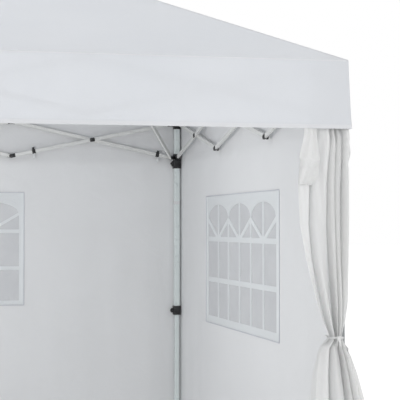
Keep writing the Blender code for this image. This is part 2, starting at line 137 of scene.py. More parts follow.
@dataclass(frozen=True)
class Plan:
    """Sizes that the fabric and the frame share."""

    half: float = 1.525
    eave: float = 2.005
    peak: float = 2.760
    valance: float = 0.270
    leg_at: float = 1.485
    folded_leg_at: float = 0.129
    pivot_offset: float = 0.038
    top_pivot: float = 1.975
    slider_pivot: float = 1.7705
    pairs: int = 3
    layer: float = 0.0057
    bar_past: float = 0.012
    rafter_reach: float = 0.048
    rafter_pivot: float = 2.005
    hub_radius: float = 0.050
    hub_pivot: float = 2.715
    outer_rafter: float = 0.955
    strut_at: float = 0.4457

    @property
    def gather(self) -> float:
        """The share of its width that cloth between two legs keeps when the frame is folded."""
        return self.folded_leg_at / self.leg_at

    @property
    def slope(self) -> float:
        """The rafters' slope."""
        reach = self.leg_at * math.sqrt(2) - self.rafter_reach - self.hub_radius
        return math.atan2(self.hub_pivot - self.rafter_pivot, reach)

    @property
    def knuckle_at(self) -> float:
        """How far the rafters' knuckles are from the middle, along X or Y."""
        radius = self.leg_at * math.sqrt(2) - self.rafter_reach
        return (radius - self.outer_rafter * math.cos(self.slope)) / math.sqrt(2)

    def leg_point(self, leg: Leg, z: float = 0.0) -> Vector:
        """A point on a leg's axis."""
        return leg.hand * self.leg_at + UP * z

    def truss_pivot(self, side: Side, station: int, top: bool) -> Vector:
        """A truss pivot on the side's centre plane.

        Args:
            side: The truss's side.
            station: 0 at the side's first leg, up to the number of crossed pairs.
            top: True for the upper row of pivots.

        Returns:
            The pivot's place.
        """
        first = side.legs[0]
        span = 2 * (self.leg_at - self.pivot_offset) / self.pairs
        z = self.top_pivot if top else self.slider_pivot
        start = self.leg_point(first, z)
        return start - side.toward(first) * (self.pivot_offset + station * span)


PLAN = Plan()


# ---- Materials ----
class Signal:
    """A value in a material, with Python's arithmetic."""

    def __init__(self, graph: "Graph", socket: bpy.types.NodeSocket) -> None:
        """Wraps an output socket of the graph."""
        self.graph, self.socket = graph, socket

    def _math(self, operation: str, *values: Any) -> "Signal":
        """One Math node on up to three values."""
        inputs = dict(enumerate(values))
        return self.graph.node("ShaderNodeMath", {"operation": operation}, inputs)[0]

    def __add__(self, other: Any) -> "Signal":
        """self + other."""
        return self._math("ADD", self, other)

    def __radd__(self, other: Any) -> "Signal":
        """other + self."""
        return self._math("ADD", other, self)

    def __sub__(self, other: Any) -> "Signal":
        """self - other."""
        return self._math("SUBTRACT", self, other)

    def __rsub__(self, other: Any) -> "Signal":
        """other - self."""
        return self._math("SUBTRACT", other, self)

    def __mul__(self, other: Any) -> "Signal":
        """self * other."""
        return self._math("MULTIPLY", self, other)

    def __rmul__(self, other: Any) -> "Signal":
        """other * self."""
        return self._math("MULTIPLY", other, self)

    def __gt__(self, other: Any) -> "Signal":
        """1 where self is greater than other."""
        return self._math("GREATER_THAN", self, other)

    def __lt__(self, other: Any) -> "Signal":
        """1 where self is less than other."""
        return self._math("LESS_THAN", self, other)

    def sine(self) -> "Signal":
        """The sine."""
        return self._math("SINE", self)

    def ramp(self, low: float, high: float) -> "Signal":
        """0 at low and below, 1 at high and above.

        Args:
            low: The value that gives 0.
            high: The value that gives 1.

        Returns:
            The mapped signal.
        """
        names = ("Value", "From Min", "From Max")
        inputs = dict(zip(names, (self, low, high)))
        return self.graph.node("ShaderNodeMapRange", {"clamp": True}, inputs)[0]


class Graph:
    """A material's nodes."""

    def __init__(self, name: str) -> None:
        """Starts an empty material of that name.

        Args:
            name: The material's name.
        """
        self.material = bpy.data.materials.new(name)
        self.material.use_nodes = True
        self.tree = self.material.node_tree
        self.tree.nodes.clear()

    def node(self, kind: str, settings: dict | None = None, inputs: dict | None = None) -> list[Signal]:
        """Adds a node.

        Args:
            kind: The node's type.
            settings: Its properties, set before its sockets are used.
            inputs: Its sockets by name or place, each a number, a colour or a signal.

        Returns:
            Its outputs in order.
        """
        made = self.tree.nodes.new(kind)
        for key, value in (settings or {}).items():
            setattr(made, key, value)
        for key, value in (inputs or {}).items():
            if isinstance(value, Signal):
                self.tree.links.new(value.socket, made.inputs[key])
            else:
                made.inputs[key].default_value = value
        return [Signal(self, socket) for socket in made.outputs]

    def weave(self) -> Signal:
        """The point on the cloth, in metres along its own threads."""
        return self.node("ShaderNodeUVMap", {"uv_map": WEAVE})[0]

    def lit_through(self, share: float, face: Signal, inputs: dict) -> bpy.types.Material:
        """The material of a sheet that lets some light through.

        Args:
            share: The share that passes.
            face: The shader of its surface.
            inputs: The translucent shader's sockets.

        Returns:
            The material.
        """
        light = self.node("ShaderNodeBsdfTranslucent", {}, inputs)[0]
        return self.done(self.node("ShaderNodeMixShader", {}, {0: share, 1: face, 2: light})[0])

    def mix(self, share: Any, first: Any, second: Any) -> Signal:
        """A mix of two colours.

        Args:
            share: How much of the second colour there is, from 0 to 1.
            first: A colour or a signal.
            second: A colour or a signal.

        Returns:
            The mixed colour.
        """
        colours = [(*c, 1.0) if isinstance(c, tuple) else c for c in (first, second)]
        inputs = {0: share, 6: colours[0], 7: colours[1]}
        return self.node("ShaderNodeMix", {"data_type": "RGBA"}, inputs)[2]

    def noise(self, vector: Signal, scale: float, detail: float = 2.0, warp: float = 0.0) -> Signal:
        """A smooth noise between 0 and 1.

        Args:
            vector: Where it is read.
            scale: Its cells in each metre.
            detail: How many finer octaves it has.
            warp: How far it twists.

        Returns:
            The noise.
        """
        inputs = {"Vector": vector, "Scale": scale, "Detail": detail, "Distortion": warp}
        return self.node("ShaderNodeTexNoise", {}, inputs)[0]

    def bump(self, height: Signal, strength: float, distance: float, over: Signal | None = None) -> Signal:
        """A normal from a height.

        Args:
            height: The height, from 0 to 1.
            strength: The bump's share.
            distance: The height in metres.
            over: The normal that it lies on, where there is one.

        Returns:
            The normal.
        """
        inputs = {"Height": height, "Strength": strength, "Distance": distance}
        if over is not None:
            inputs["Normal"] = over
        return self.node("ShaderNodeBump", {}, inputs)[0]

    def place(self) -> Signal:
        """The point on the object, in metres."""
        return self.node("ShaderNodeTexCoord")[3]

    def axes(self, vector: Signal) -> list[Signal]:
        """A vector's three numbers."""
        return self.node("ShaderNodeSeparateXYZ", {}, {0: vector})

    def shader(self, **inputs: Any) -> Signal:
        """A Principled shader. Underscores in a name stand for spaces."""
        named = {key.replace("_", " "): value for key, value in inputs.items()}
        return self.node("ShaderNodeBsdfPrincipled", {}, named)[0]

    def done(self, surface: Signal) -> bpy.types.Material:
        """Connects the surface and returns the material."""
        self.node("ShaderNodeOutputMaterial", {}, {0: surface})
        return self.material


@dataclass(frozen=True)
class Cloth:
    """Coated polyester cloth, read in metres along its own weave."""

    name: str
    colour: Colour
    shade: Colour
    glow: Colour
    through: float = 0.42
    roughness: float = 0.82
    thread: float = 0.0024
    crease: float = 0.35

    def material(self) -> bpy.types.Material:
        """Builds the material.

        Returns:
            The material.
        """
        g = Graph(self.name)
        weave_at = g.weave()
        across, along, _ = g.axes(weave_at)
        turn = 2 * math.pi / self.thread
        weave = (across * turn).sine() * (along * turn).sine()
        cloud = g.noise(weave_at, 2.3, 3.0, 0.6)
        slub = g.noise(weave_at, 160.0, 1.0)
        crumple = g.noise(weave_at, 7.0, 3.0, 1.2)
        dust = cloud.ramp(0.35, 0.75) * 0.7 + slub.ramp(0.45, 0.8) * 0.3
        soft = g.bump(crumple, self.crease, 0.006)
        threads = g.bump(weave, 0.22, 0.0003, soft)
        face = g.shader(
            Base_Color=g.mix(dust, self.colour, self.shade),
            Roughness=self.roughness + weave * 0.05,
            Normal=threads,
            Sheen_Weight=0.15,
        )
        return g.lit_through(self.through, face, {"Color": (*self.glow, 1.0), "Normal": soft})


@dataclass(frozen=True)
class Pane:
    """Clouded window film, softly rippled."""

    name: str = "window_film"
    colour: Colour = (0.70, 0.71, 0.72)
    shade: Colour = (0.65, 0.66, 0.675)
    glow: Colour = (0.70, 0.71, 0.73)
    through: float = 0.25
    roughness: float = 0.32

    def material(self) -> bpy.types.Material:
        """Builds the material.

        Returns:
            The material.
        """
        g = Graph(self.name)
        at = g.weave()
        cloud = g.noise(at, 6.0, 2.0, 0.8)
        ripple = g.noise(at, 11.0, 1.0, 2.0)
        film = g.shader(
            Base_Color=g.mix(cloud.ramp(0.3, 0.7), self.colour, self.shade),
            Roughness=self.roughness + cloud * 0.15,
            Normal=g.bump(ripple, 0.5, 0.006),
            Coat_Weight=0.25,
        )
        return g.lit_through(self.through, film, {"Color": (*self.glow, 1.0)})


@dataclass(frozen=True)
class Paint:
    """Powder coat on steel tube, rubbed thin in places, with parts of black plastic."""

    name: str
    colour: Colour
    rubbed: Colour
    black_heights: tuple[tuple[float, float], ...] = ()
    roughness: float = 0.42

    def material(self) -> bpy.types.Material:
        """Builds the material.

        Returns:
            The material.
        """
        g = Graph(self.name)
        at = g.place()
        height = g.axes(at)[2]
        rub = g.noise(at, 38.0, 4.0, 0.5).ramp(0.56, 0.72)
        haze = g.noise(at, 5.0, 2.0).ramp(0.3, 0.8)
        peel = g.noise(at, 900.0, 1.0)
        colour = g.mix(haze * 0.35 + rub * 0.5, self.colour, self.rubbed)
        roughness = self.roughness + haze * 0.12 - rub * 0.08
        metal = 0.08 + rub * 0.3
        for low, high in self.black_heights:
            black = (height > low) * (height < high)
            colour = g.mix(black, colour, Plastic().colour)
            metal = metal * (1 - black)
        normal = g.bump(peel, 0.12, 0.0004)
        return g.done(g.shader(Base_Color=colour, Roughness=roughness, Metallic=metal, Normal=normal))


@dataclass(frozen=True)
class Plastic:
    """Moulded black nylon with a fine grain."""

    name: str = "black_nylon"
    colour: Colour = (0.014, 0.014, 0.015)
    scuffed: Colour = (0.045, 0.045, 0.046)
    roughness: float = 0.46

    def material(self) -> bpy.types.Material:
        """Builds the material.

        Returns:
            The material.
        """
        g = Graph(self.name)
        at = g.place()
        grain = g.noise(at, 1400.0, 2.0)
        scuff = g.noise(at, 60.0, 3.0, 0.4).ramp(0.58, 0.8)
        return g.done(
            g.shader(
                Base_Color=g.mix(scuff, self.colour, self.scuffed),
                Roughness=self.roughness + scuff * 0.2,
                Normal=g.bump(grain, 0.2, 0.0003),
            )
        )


@dataclass(frozen=True)
class Zinc:
    """Zinc plated steel of bolts and rivets."""

    name: str = "zinc_plate"
    colour: Colour = (0.56, 0.57, 0.58)
    dull: Colour = (0.40, 0.41, 0.42)

    def material(self) -> bpy.types.Material:
        """Builds the material.

        Returns:
            The material.
        """
        g = Graph(self.name)
        at = g.place()
        spangle = g.noise(at, 420.0, 3.0, 0.5)
        colour = g.mix(spangle.ramp(0.4, 0.7), self.colour, self.dull)
        return g.done(g.shader(Base_Color=colour, Roughness=0.25 + spangle * 0.2, Metallic=0.9))


@dataclass(frozen=True)
class Webbing:
    """Woven strap with ribs across it."""

    name: str = "white_webbing"
    colour: Colour = (0.74, 0.75, 0.75)
    shade: Colour = (0.58, 0.59, 0.60)
    rib: float = 0.003

    def material(self) -> bpy.types.Material:
        """Builds the material.

        Returns:
            The material.
        """
        g = Graph(self.name)
        at = g.weave()
        along = g.axes(at)[0]
        ribs = (along * (2 * math.pi / self.rib)).sine()
        fuzz = g.noise(at, 260.0, 2.0)
        return g.done(
            g.shader(
                Base_Color=g.mix(fuzz.ramp(0.3, 0.8), self.colour, self.shade),
                Roughness=0.8 + ribs * 0.05,
                Normal=g.bump(ribs, 0.35, 0.0006),
                Sheen_Weight=0.2,
            )
        )


# ---- The bench ----
def deselect() -> None:
    """Leaves Blender in object mode with nothing selected."""
    if bpy.context.mode != "OBJECT":
        bpy.ops.object.mode_set(mode="OBJECT")
    bpy.ops.object.select_all(action="DESELECT")


def take_up(piece: bpy.types.Object) -> None:
    """Makes a piece the only one selected.

    Args:
        piece: The piece.
    """
    deselect()
    piece.select_set(True)
    bpy.context.view_layer.objects.active = piece


def settle(piece: bpy.types.Object) -> bpy.types.Object:
    """Moves a piece's place into its mesh.

    Args:
        piece: The piece.

    Returns:
        The same piece.
    """
    take_up(piece)
    bpy.ops.object.transform_apply(location=True, rotation=True, scale=True)
    return piece


def apply_all(piece: bpy.types.Object) -> bpy.types.Object:
    """Applies a piece's modifiers in order.

    Args:
        piece: The piece.

    Returns:
        The same piece.
    """
    take_up(piece)
    for modifier in [m.name for m in piece.modifiers]:
        bpy.ops.object.modifier_apply(modifier=modifier)
    return piece


class Edit:
    """Edit mode on one piece, as a with block."""

    def __init__(self, piece: bpy.types.Object) -> None:
        """Takes the piece to edit."""
        self.piece = piece

    def __enter__(self) -> "Edit":
        """Enters edit mode with nothing selected.

        Returns:
            This edit.
        """
        take_up(self.piece)
        bpy.ops.object.mode_set(mode="EDIT")
        bpy.ops.mesh.select_all(action="DESELECT")
        return self

    def __exit__(self, *_: Any) -> None:
        """Leaves edit mode."""
        bpy.ops.object.mode_set(mode="OBJECT")

    def _pick(self, kind: str, test: Callable[[Any], bool]) -> int:
        """Selects only the faces or edges that pass a test.

        Args:
            kind: faces or edges.
            test: The test.

        Returns:
            How many were found.
        """
        bpy.ops.mesh.select_all(action="DESELECT")
        bpy.ops.mesh.select_mode(type="FACE" if kind == "faces" else "EDGE")
        bm = bmesh.from_edit_mesh(self.piece.data)
        found = [part for part in getattr(bm, kind) if test(part)]
        for part in found:
            part.select_set(True)
        bm.select_flush_mode()
        bmesh.update_edit_mesh(self.piece.data)
        return len(found)

    def faces(self, normal: Sequence[float]) -> int:
        """Selects the faces that look along a direction."""
        way = Vector(normal)
        return self._pick("faces", lambda face: face.normal.dot(way) > 0.95)

    def edges(self, along: Sequence[float], beyond: Sequence[float] | None = None) -> int:
        """Selects the edges that run along a direction.

        Args:
            along: The direction.
            beyond: Where given, only edges whose middle lies on this vector's side.

        Returns:
            How many were found.
        """
        way = Vector(along)

        def fits(edge: bmesh.types.BMEdge) -> bool:
            """Whether an edge is one of them.

            Args:
                edge: The edge.

            Returns:
                True where it is one of them.
            """
            a, b = (v.co for v in edge.verts)
            middle = (a + b) / 2
            aside = beyond is None or middle.dot(Vector(beyond)) > 1e-6
            return aside and abs((b - a).normalized().dot(way)) > 0.95

        return self._pick("edges", fits)

    def sharp(self, least: float = 60.0) -> int:
        """Selects the edges that turn by more than an angle in degrees."""
        limit = math.radians(least)
        return self._pick("edges", lambda e: len(e.link_faces) == 2 and e.calc_face_angle() > limit)


def block(low: Sequence[float], high: Sequence[float]) -> bpy.types.Object:
    """A block to be shaped further.

    Args:
        low: Its lowest corner.
        high: Its highest corner.

    Returns:
        The block.
    """
    low, high = Vector(low), Vector(high)
    deselect()
    bpy.ops.mesh.primitive_cube_add(size=1.0, location=(low + high) / 2)
    bpy.context.object.scale = high - low
    return settle(bpy.context.object)


def turned(start: Sequence[float], end: Sequence[float], radius: float, sides: int) -> bpy.types.Object:
    """A turned blank to be shaped further.

    Args:
        start: One end of its axis.
        end: The other end.
        radius: Its radius.
        sides: How many flats it has round it.

    Returns:
        The blank.
    """
    start, end = Vector(start), Vector(end)
    deselect()
    bpy.ops.mesh.primitive_cylinder_add(vertices=sides, radius=radius, depth=(end - start).length)
    made = bpy.context.object
    turn = UP.rotation_difference(end - start).to_matrix().to_4x4()
    made.matrix_world = Matrix.Translation((start + end) / 2) @ turn
    return settle(made)


def bevel(
    piece: bpy.types.Object, width: float, segments: int = 2, least: float = 60.0
) -> bpy.types.Object:
    """Rounds a piece's sharp edges.

    Args:
        piece: The piece.
        width: How far the rounding reaches.
        segments: Its steps.
        least: The least angle that is sharp, in degrees.

    Returns:
        The piece.
    """
    with Edit(piece) as edit:
        edit.sharp(least)
        bpy.ops.mesh.bevel(offset=width, segments=segments, affect="EDGES")
    return piece


def joined(pieces: Sequence[bpy.types.Object]) -> bpy.types.Object:
    """One piece from several.

    Args:
        pieces: The pieces. The first takes up the others.

    Returns:
        The joined piece.
    """
    deselect()
    for piece in pieces:
        piece.select_set(True)
    bpy.context.view_layer.objects.active = pieces[0]
    if len(pieces) > 1:
        bpy.ops.object.join()
    return bpy.context.view_layer.objects.active


def smooth(piece: bpy.types.Object, angle: float = 35.0) -> bpy.types.Object:
    """Shades a piece smooth up to an angle in degrees.

    Args:
        piece: The piece.
        angle: The angle, in degrees.

    Returns:
        The same piece.
    """
    take_up(piece)
    bpy.ops.object.shade_smooth_by_angle(angle=math.radians(angle))
    return piece


def copy_of(pattern: bpy.types.Object, at: Matrix) -> bpy.types.Object:
    """A copy of a pattern with its own mesh.

    Args:
        pattern: The pattern.
        at: The matrix that sets it down.

    Returns:
        The copy.
    """
    made = pattern.copy()
    made.data = pattern.data.copy()
    made.data.transform(at)
    if at.determinant() < 0:
        made.data.flip_normals()
    bpy.context.scene.collection.objects.link(made)
    return made


def thicken(
    piece: bpy.types.Object, thick: float, offset: float = 0.0, even: bool = False
) -> bpy.types.Object:
    """Gives a skin its thickness.

    Args:
        piece: The skin.
        thick: The thickness.
        offset: -1 inwards, 0 to both sides.
        even: True to keep the thickness at corners.

    Returns:
        The piece.
    """
    shell = piece.modifiers.new("Cloth", "SOLIDIFY")
    shell.thickness, shell.offset = thick, offset
    shell.use_even_offset = even
    return apply_all(piece)


def discard(*patterns: bpy.types.Object) -> None:
    """Removes patterns that have been copied."""
    for pattern in patterns:
        bpy.data.objects.remove(pattern)


def axes_at(origin: Vector, along: Vector, thickness: Vector) -> Matrix:
    """The matrix that sets a pattern down on a bar.

    Args:
        origin: Where the pattern's origin goes.
        along: The way that its X goes.
        thickness: The way that its Y goes.

    Returns:
        The matrix.
    """
    x, y = along.normalized(), thickness.normalized()
    return Matrix.Translation(origin) @ Matrix((x, y, x.cross(y))).transposed().to_4x4()


def stops(*marks: tuple[float, int]) -> tuple[np.ndarray, int]:
    """Where a cloth's grid lines lie.

    Args:
        marks: A position, and the number of cells from the last position to it.

    Returns:
        The lines' positions and the number of cells.
    """
    lines = [marks[0][0]]
    for (low, _), (high, cells) in zip(marks, marks[1:]):
        lines += [low + (high - low) * i / cells for i in range(1, cells + 1)]
    return np.array(lines), len(lines) - 1


Lines = tuple[np.ndarray, int]
Mark = tuple[float, float]
Opening = tuple[float, float, float, float]


def cut_cloth(
    across: Lines,
    up: Lines,
    rule: Rule,
    facing: Vector,
    thick: float,
    opening: Opening | None = None,
    merge: float = 0.0,
    even: bool = True,
) -> bpy.types.Object:
    """A cloth laid out on a grid and hung by a rule.

    Args:
        across: Its lines across, from stops.
        up: Its lines along, from stops.
        rule: Gives the points for two arrays of positions.
        facing: The way that its outer face looks.
        thick: Its thickness, taken inwards.
        opening: Low and high positions across and along that are cut out.
        merge: Points nearer than this become one.
        even: False for cloth with tight folds.

    Returns:
        The cloth, with its weave in the UV map named cloth.
    """
    deselect()
    bpy.ops.mesh.primitive_grid_add(x_subdivisions=across[1], y_subdivisions=up[1], size=1.0)
    piece = bpy.context.object
    mesh = piece.data
    flat = np.empty(len(mesh.vertices) * 3)
    mesh.vertices.foreach_get("co", flat)
    flat = flat.reshape(-1, 3) + 0.5
    u = np.interp(flat[:, 0] * across[1], np.arange(across[1] + 1), across[0])
    v = np.interp(flat[:, 1] * up[1], np.arange(up[1] + 1), up[0])
    if opening:
        with Edit(piece):
            bm = bmesh.from_edit_mesh(mesh)
            bm.verts.ensure_lookup_table()
            for face in bm.faces:
                cu = sum(u[p.index] for p in face.verts) / len(face.verts)
                cv = sum(v[p.index] for p in face.verts) / len(face.verts)
                face.select_set(bool(opening[0] < cu < opening[1] and opening[2] < cv < opening[3]))
            bmesh.update_edit_mesh(mesh)
            layer = bm.verts.layers.int.new("line")
            for vert in bm.verts:
                vert[layer] = vert.index
            bpy.ops.mesh.delete(type="FACE")
        kept = np.empty(len(mesh.vertices), dtype=np.int32)
        mesh.attributes["line"].data.foreach_get("value", kept)
        mesh.attributes.remove(mesh.attributes["line"])
        u, v = u[kept], v[kept]
    mesh.vertices.foreach_set("co", rule(u, v).astype(np.float32).ravel())
    for layer in list(mesh.uv_layers):
        mesh.uv_layers.remove(layer)
    weave = mesh.uv_layers.new(name=WEAVE)
    corner = np.empty(len(mesh.loops), dtype=np.int32)
    mesh.loops.foreach_get("vertex_index", corner)
    weave.data.foreach_set("uv", np.column_stack((u[corner], v[corner])).astype(np.float32).ravel())
    mesh.update()
    normals = np.empty(len(mesh.polygons) * 3)
    mesh.polygons.foreach_get("normal", normals)
    if normals.reshape(-1, 3).sum(axis=0) @ np.array(facing) < 0:
        mesh.flip_normals()
    if merge:
        with Edit(piece):
            bpy.ops.mesh.select_all(action="SELECT")
            bpy.ops.mesh.remove_doubles(threshold=merge)
    if thick:
        thicken(piece, thick, -1.0, even)
    return smooth(piece, SOFT_ANGLE)


def path_rule(path: np.ndarray, aside: np.ndarray) -> tuple[Rule, Lines]:
    """The rule of cloth that runs along a path.

    Args:
        path: Points of its centre line, one row each.
        aside: The way across it, one row for each point or one for all.

    Returns:
        The rule over distance along and across, and the grid lines along it.
    """
    steps = np.linalg.norm(np.diff(path, axis=0), axis=1)
    length = np.concatenate(([0.0], np.cumsum(steps)))
    aside = np.broadcast_to(aside, path.shape)

    def rule(u: np.ndarray, v: np.ndarray) -> np.ndarray:
        """Points at distances along and across.

        Args:
            u: Distances along the path.
            v: Distances to its side.

        Returns:
            The points, one row each.
        """
        centre = np.column_stack([np.interp(u, length, path[:, i]) for i in range(3)])
        beside = np.column_stack([np.interp(u, length, aside[:, i]) for i in range(3)])
        return centre + beside * v[:, None]

    return rule, (length, len(length) - 1)


def strip(path: np.ndarray, width: float, facing: Vector, thick: float) -> bpy.types.Object:
    """A flat strip of cloth along a path.

    Args:
        path: Points of its centre line, one row each.
        width: Its width.
        facing: The way that its outer face looks.
        thick: Its thickness.

    Returns:
        The strip.
    """
    aside = np.cross(np.gradient(path, axis=0), np.array(facing, float))
    aside /= np.linalg.norm(aside, axis=1)[:, None]
    rule, along = path_rule(path, aside)
    return cut_cloth(along, stops((-width / 2, 0), (width / 2, 1)), rule, facing, thick)


def finish(
    piece: bpy.types.Object, name: str, body: str, look: bpy.types.Material
) -> bpy.types.Object:
    """Names, dresses and mounts a piece.

    Args:
        piece: The piece, in place.
        name: Its name.
        body: The body it moves with.
        look: Its material.

    Returns:
        The piece.
    """
    piece.name = piece.data.name = name
    piece.data.materials.clear()
    piece.data.materials.append(look)
    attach(piece, body)
    LOG.info("%s: %d faces on %s", name, len(piece.data.polygons), body)
    return piece


def ease(t: np.ndarray | float) -> np.ndarray:
    """A smooth step from 0 to 1."""
    t = np.clip(t, 0.0, 1.0)
    return t * t * (3 - 2 * t)


# ---- Roof and valance ----
@dataclass
class Roof:
    """The roof, one sagging skin in panels between the hips, with its valance and trim."""

    cloth: Cloth
    trim: Cloth
    thick: float = 0.001
    sag: float = 0.024
    ruck: float = 0.0022
    fold_keep: float = 0.05
    cells_across: int = 44
    cells_outer: int = 26
    cells_inner: int = 26
    flare: float = 0.010
    hem: float = 0.016
    seam: float = 0.007
    patch_radius: float = 0.13
    patch_tip: float = 0.004
    patch_depth: float = 0.046
    patch_rise: float = 0.0025
    made: list[bpy.types.Object] = field(default_factory=list)

    def height(self, out: np.ndarray, aside: np.ndarray) -> np.ndarray:
        """The skin's height on a panel.

        Args:
            out: Distance from the middle towards the eave.
            aside: 0 on the panel's centre line and 1 on its hip.

        Returns:
            The heights.
        """
        rise = 1 - out / PLAN.half
        flat = PLAN.eave + (PLAN.peak - PLAN.eave) * rise
        belly = self.sag * (1 - aside**2) * np.sin(np.pi * np.clip(rise, 0, 1)) ** 0.8
        pull = self.ruck * np.sin(aside * 21 + out * 3) * (1 - aside) * rise * ease(out / 0.4)
        return flat - belly - pull * ease(aside / 0.15)

    def panel_rule(self, side: Side, leg: Leg) -> Rule:
        """The rule of one half of a panel, over distance out and share aside.

        Args:
            side: The panel's side.
            leg: The leg that its half leans to.

        Returns:
            The rule.
        """
        outward, toward = np.array(side.outward), np.array(side.toward(leg))

        def rule(u: np.ndarray, v: np.ndarray) -> np.ndarray:
            """Points on the half panel.

            Args:
                u: Distances out from the peak.
                v: Shares aside.

            Returns:
                The points, one row each.
            """
            level = outward * v[:, None] + toward * (u * v)[:, None]
            return level + np.column_stack((u * 0, u * 0, self.height(v, u)))

        return rule

    def build_panels(self, look: bpy.types.Material) -> None:
        """Sixteen half panels: each folds with the rafter that it lies on.

        Args:
            look: The cloth's material.
        """
        sections = (
            ("outer", (PLAN.knuckle_at, 0), (PLAN.half, self.cells_outer), 0.0),
            ("inner", (0.0, 0), (PLAN.knuckle_at, self.cells_inner), 1e-4),
        )
        for side in Side:
            for leg in side.legs:
                facing = side.outward * 0.44 + UP * 0.9
                for part, low, high, merge in sections:
                    piece = cut_cloth(
                        stops((0.0, 0), (1.0, self.cells_across)),
                        stops(low, high),
                        self.panel_rule(side, leg),
                        facing,
                        self.thick,
                        merge=merge,
                    )
                    name = f"{side.title}_roof_{part}_{leg.title}"
                    finish(piece, name, f"{leg.title}_{part}_rafter", look)
                    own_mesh(piece)
                    depth = high[0] - low[0]
                    width = high[0] if part == "outer" else PLAN.knuckle_at
                    mean = (high[0] + low[0]) / 2
                    rise = math.hypot(1.0, (PLAN.peak - PLAN.eave) / PLAN.half)
                    depth * rise
                    mean * depth * rise
                    self.made.append(piece)

    def build_hips(self, look: bpy.types.Material) -> None:
        """Folded seams along the four hips, in two lengths each.

        Args:
            look: The seams' material.
        """
        for leg in Leg:
            corner = leg.hand * PLAN.half + UP * PLAN.eave
            peak = UP * PLAN.peak
            facing = (-leg.inward * 0.33 + UP).normalized()
            cut = 1 - PLAN.knuckle_at / PLAN.half
            for part, low, high in (("outer", 0.0, cut), ("inner", cut, 0.985)):
                shares = np.linspace(low, high, 24)
                path = np.array([corner.lerp(peak, s) + facing * 0.0004 for s in shares])
                seam = strip(path, self.seam, facing, 0.0014)
                body = f"{leg.title}_{part}_rafter"
                finish(seam, f"{leg.title}_{part}_hip_seam", body, look)

    def build_peak(self, look: bpy.types.Material) -> None:
        """The square patch sewn over the peak, on the hub.

        Args:
            look: The patch's material.
        """
        deselect()
        bpy.ops.mesh.primitive_cone_add(
            vertices=4,
            radius1=self.patch_radius,
            radius2=self.patch_tip,
            depth=self.patch_depth,
            end_fill_type="NOTHING",
        )
        patch = bpy.context.object
        patch.location.z = PLAN.peak + self.patch_rise - self.patch_depth / 2
        patch.rotation_euler.z = math.pi / 4
        settle(patch)
        with Edit(patch):
            bpy.ops.mesh.select_all(action="SELECT")
            bpy.ops.mesh.subdivide(number_cuts=5, smoothness=0.2)
        patch.data.uv_layers[0].name = WEAVE
        smooth(thicken(patch, 0.0012), SOFT_ANGLE)
        finish(patch, "roof_peak_patch", "roof_hub", look)

    def valance_rule(self, side: Side, leg: Leg, proud: float = 0.0) -> Rule:
        """The rule of half a valance, over distance along the side and depth below the eave.

        Args:
            side: The valance's side.
            leg: The leg of its half.
            proud: How far out it stands.

        Returns:
            The rule.
        """
        outward, toward = np.array(side.outward), np.array(side.toward(leg))

        def rule(u: np.ndarray, v: np.ndarray) -> np.ndarray:
            """Points on the valance.

            Args:
                u: Distances from the side's middle toward the corner.
                v: Distances down from the eave.

            Returns:
                The points, one row each.
            """
            drop = v / PLAN.valance
            corner = ease((u - 1.25) / 0.275)
            wave = 0.0022 * np.sin(u * 9.0 + 1.3) * drop * (1 - corner)
            out = PLAN.half - 0.0004 + self.flare * corner * drop**1.3 + wave + proud
            along = u + self.flare * corner * drop**1.3 * (u / PLAN.half)
            level = outward * out[:, None] + toward * along[:, None]
            return level + np.column_stack((u * 0, u * 0, PLAN.eave - v))

        return rule

    def build_valance(self, look: bpy.types.Material, trim: bpy.types.Material) -> None:
        """Eight half valances, each with a piped eave and a doubled hem.

        Args:
            look: The cloth's material.
            trim: The eave's and the hem's material.
        """
        for side in Side:
            for leg in side.legs:
                along = stops((0.0, 0), (1.25, 50), (PLAN.half, 18))
                rule = self.valance_rule(side, leg)
                drop = stops((0.0, 0), (PLAN.valance, 12))
                piece = cut_cloth(along, drop, rule, side.outward, self.thick)
                hem_rule = self.valance_rule(side, leg, 0.0012)
                low = PLAN.valance
                edges = stops((low - self.hem, 0), (low, 2))
                hem = cut_cloth(along, edges, hem_rule, side.outward, 0.0034)
                pipe_rule = self.valance_rule(side, leg, 0.0006)
                pipe = cut_cloth(along, stops((0.0, 0), (0.005, 2)), pipe_rule, side.outward, 0.002)
                edge = joined([hem, pipe])
                where = f"{side.title}_{leg.title}"
                finish(piece, f"valance_{where}", leg.body, look)
                finish(edge, f"valance_trim_{where}", leg.body, trim)
                anchor = PLAN.leg_point(leg, PLAN.eave)
                for cloth in (piece, edge):
                    side.toward(leg)
                    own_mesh(cloth)
                self.made.append(piece)

    def build(self) -> None:
        """Builds the roof."""
        look, trim = self.cloth.material(), self.trim.material()
        self.build_panels(look)
        self.build_hips(trim)
        self.build_peak(trim)
        self.build_valance(look, trim)
        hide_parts("canopy_top")


# ---- Walls and windows ----
@dataclass(frozen=True)
class WindowSize:
    """A window of three arched lights, each two columns wide."""

    middle: float
    half: float
    frame: float
    bottom: float
    top: float
    sill: float
    bars: tuple[float, float]
    spring: float
    apex: float
    rail: float = 0.022
    mullion: float = 0.016

    @property
    def column(self) -> float:
        """One column's width."""
        return (self.half - self.frame) / 3

    def arch(self, u: np.ndarray) -> np.ndarray:
        """The arches' height over the distance from the window's middle.

        Args:
            u: Distances along the wall from the window's middle.

        Returns:
            The heights.
        """
        column = self.column
        part = (np.abs(u) + column) % (2 * column) - column
        round_it = np.sqrt(np.clip(1 - (part / column) ** 2, 0.0, 1.0))
        return self.spring + (self.apex - self.spring) * round_it


# Each arch's fan bars, from a column line at the rail to one at the springing
FAN_COLUMNS = ((0, 1), (2, 1), (2, 3))


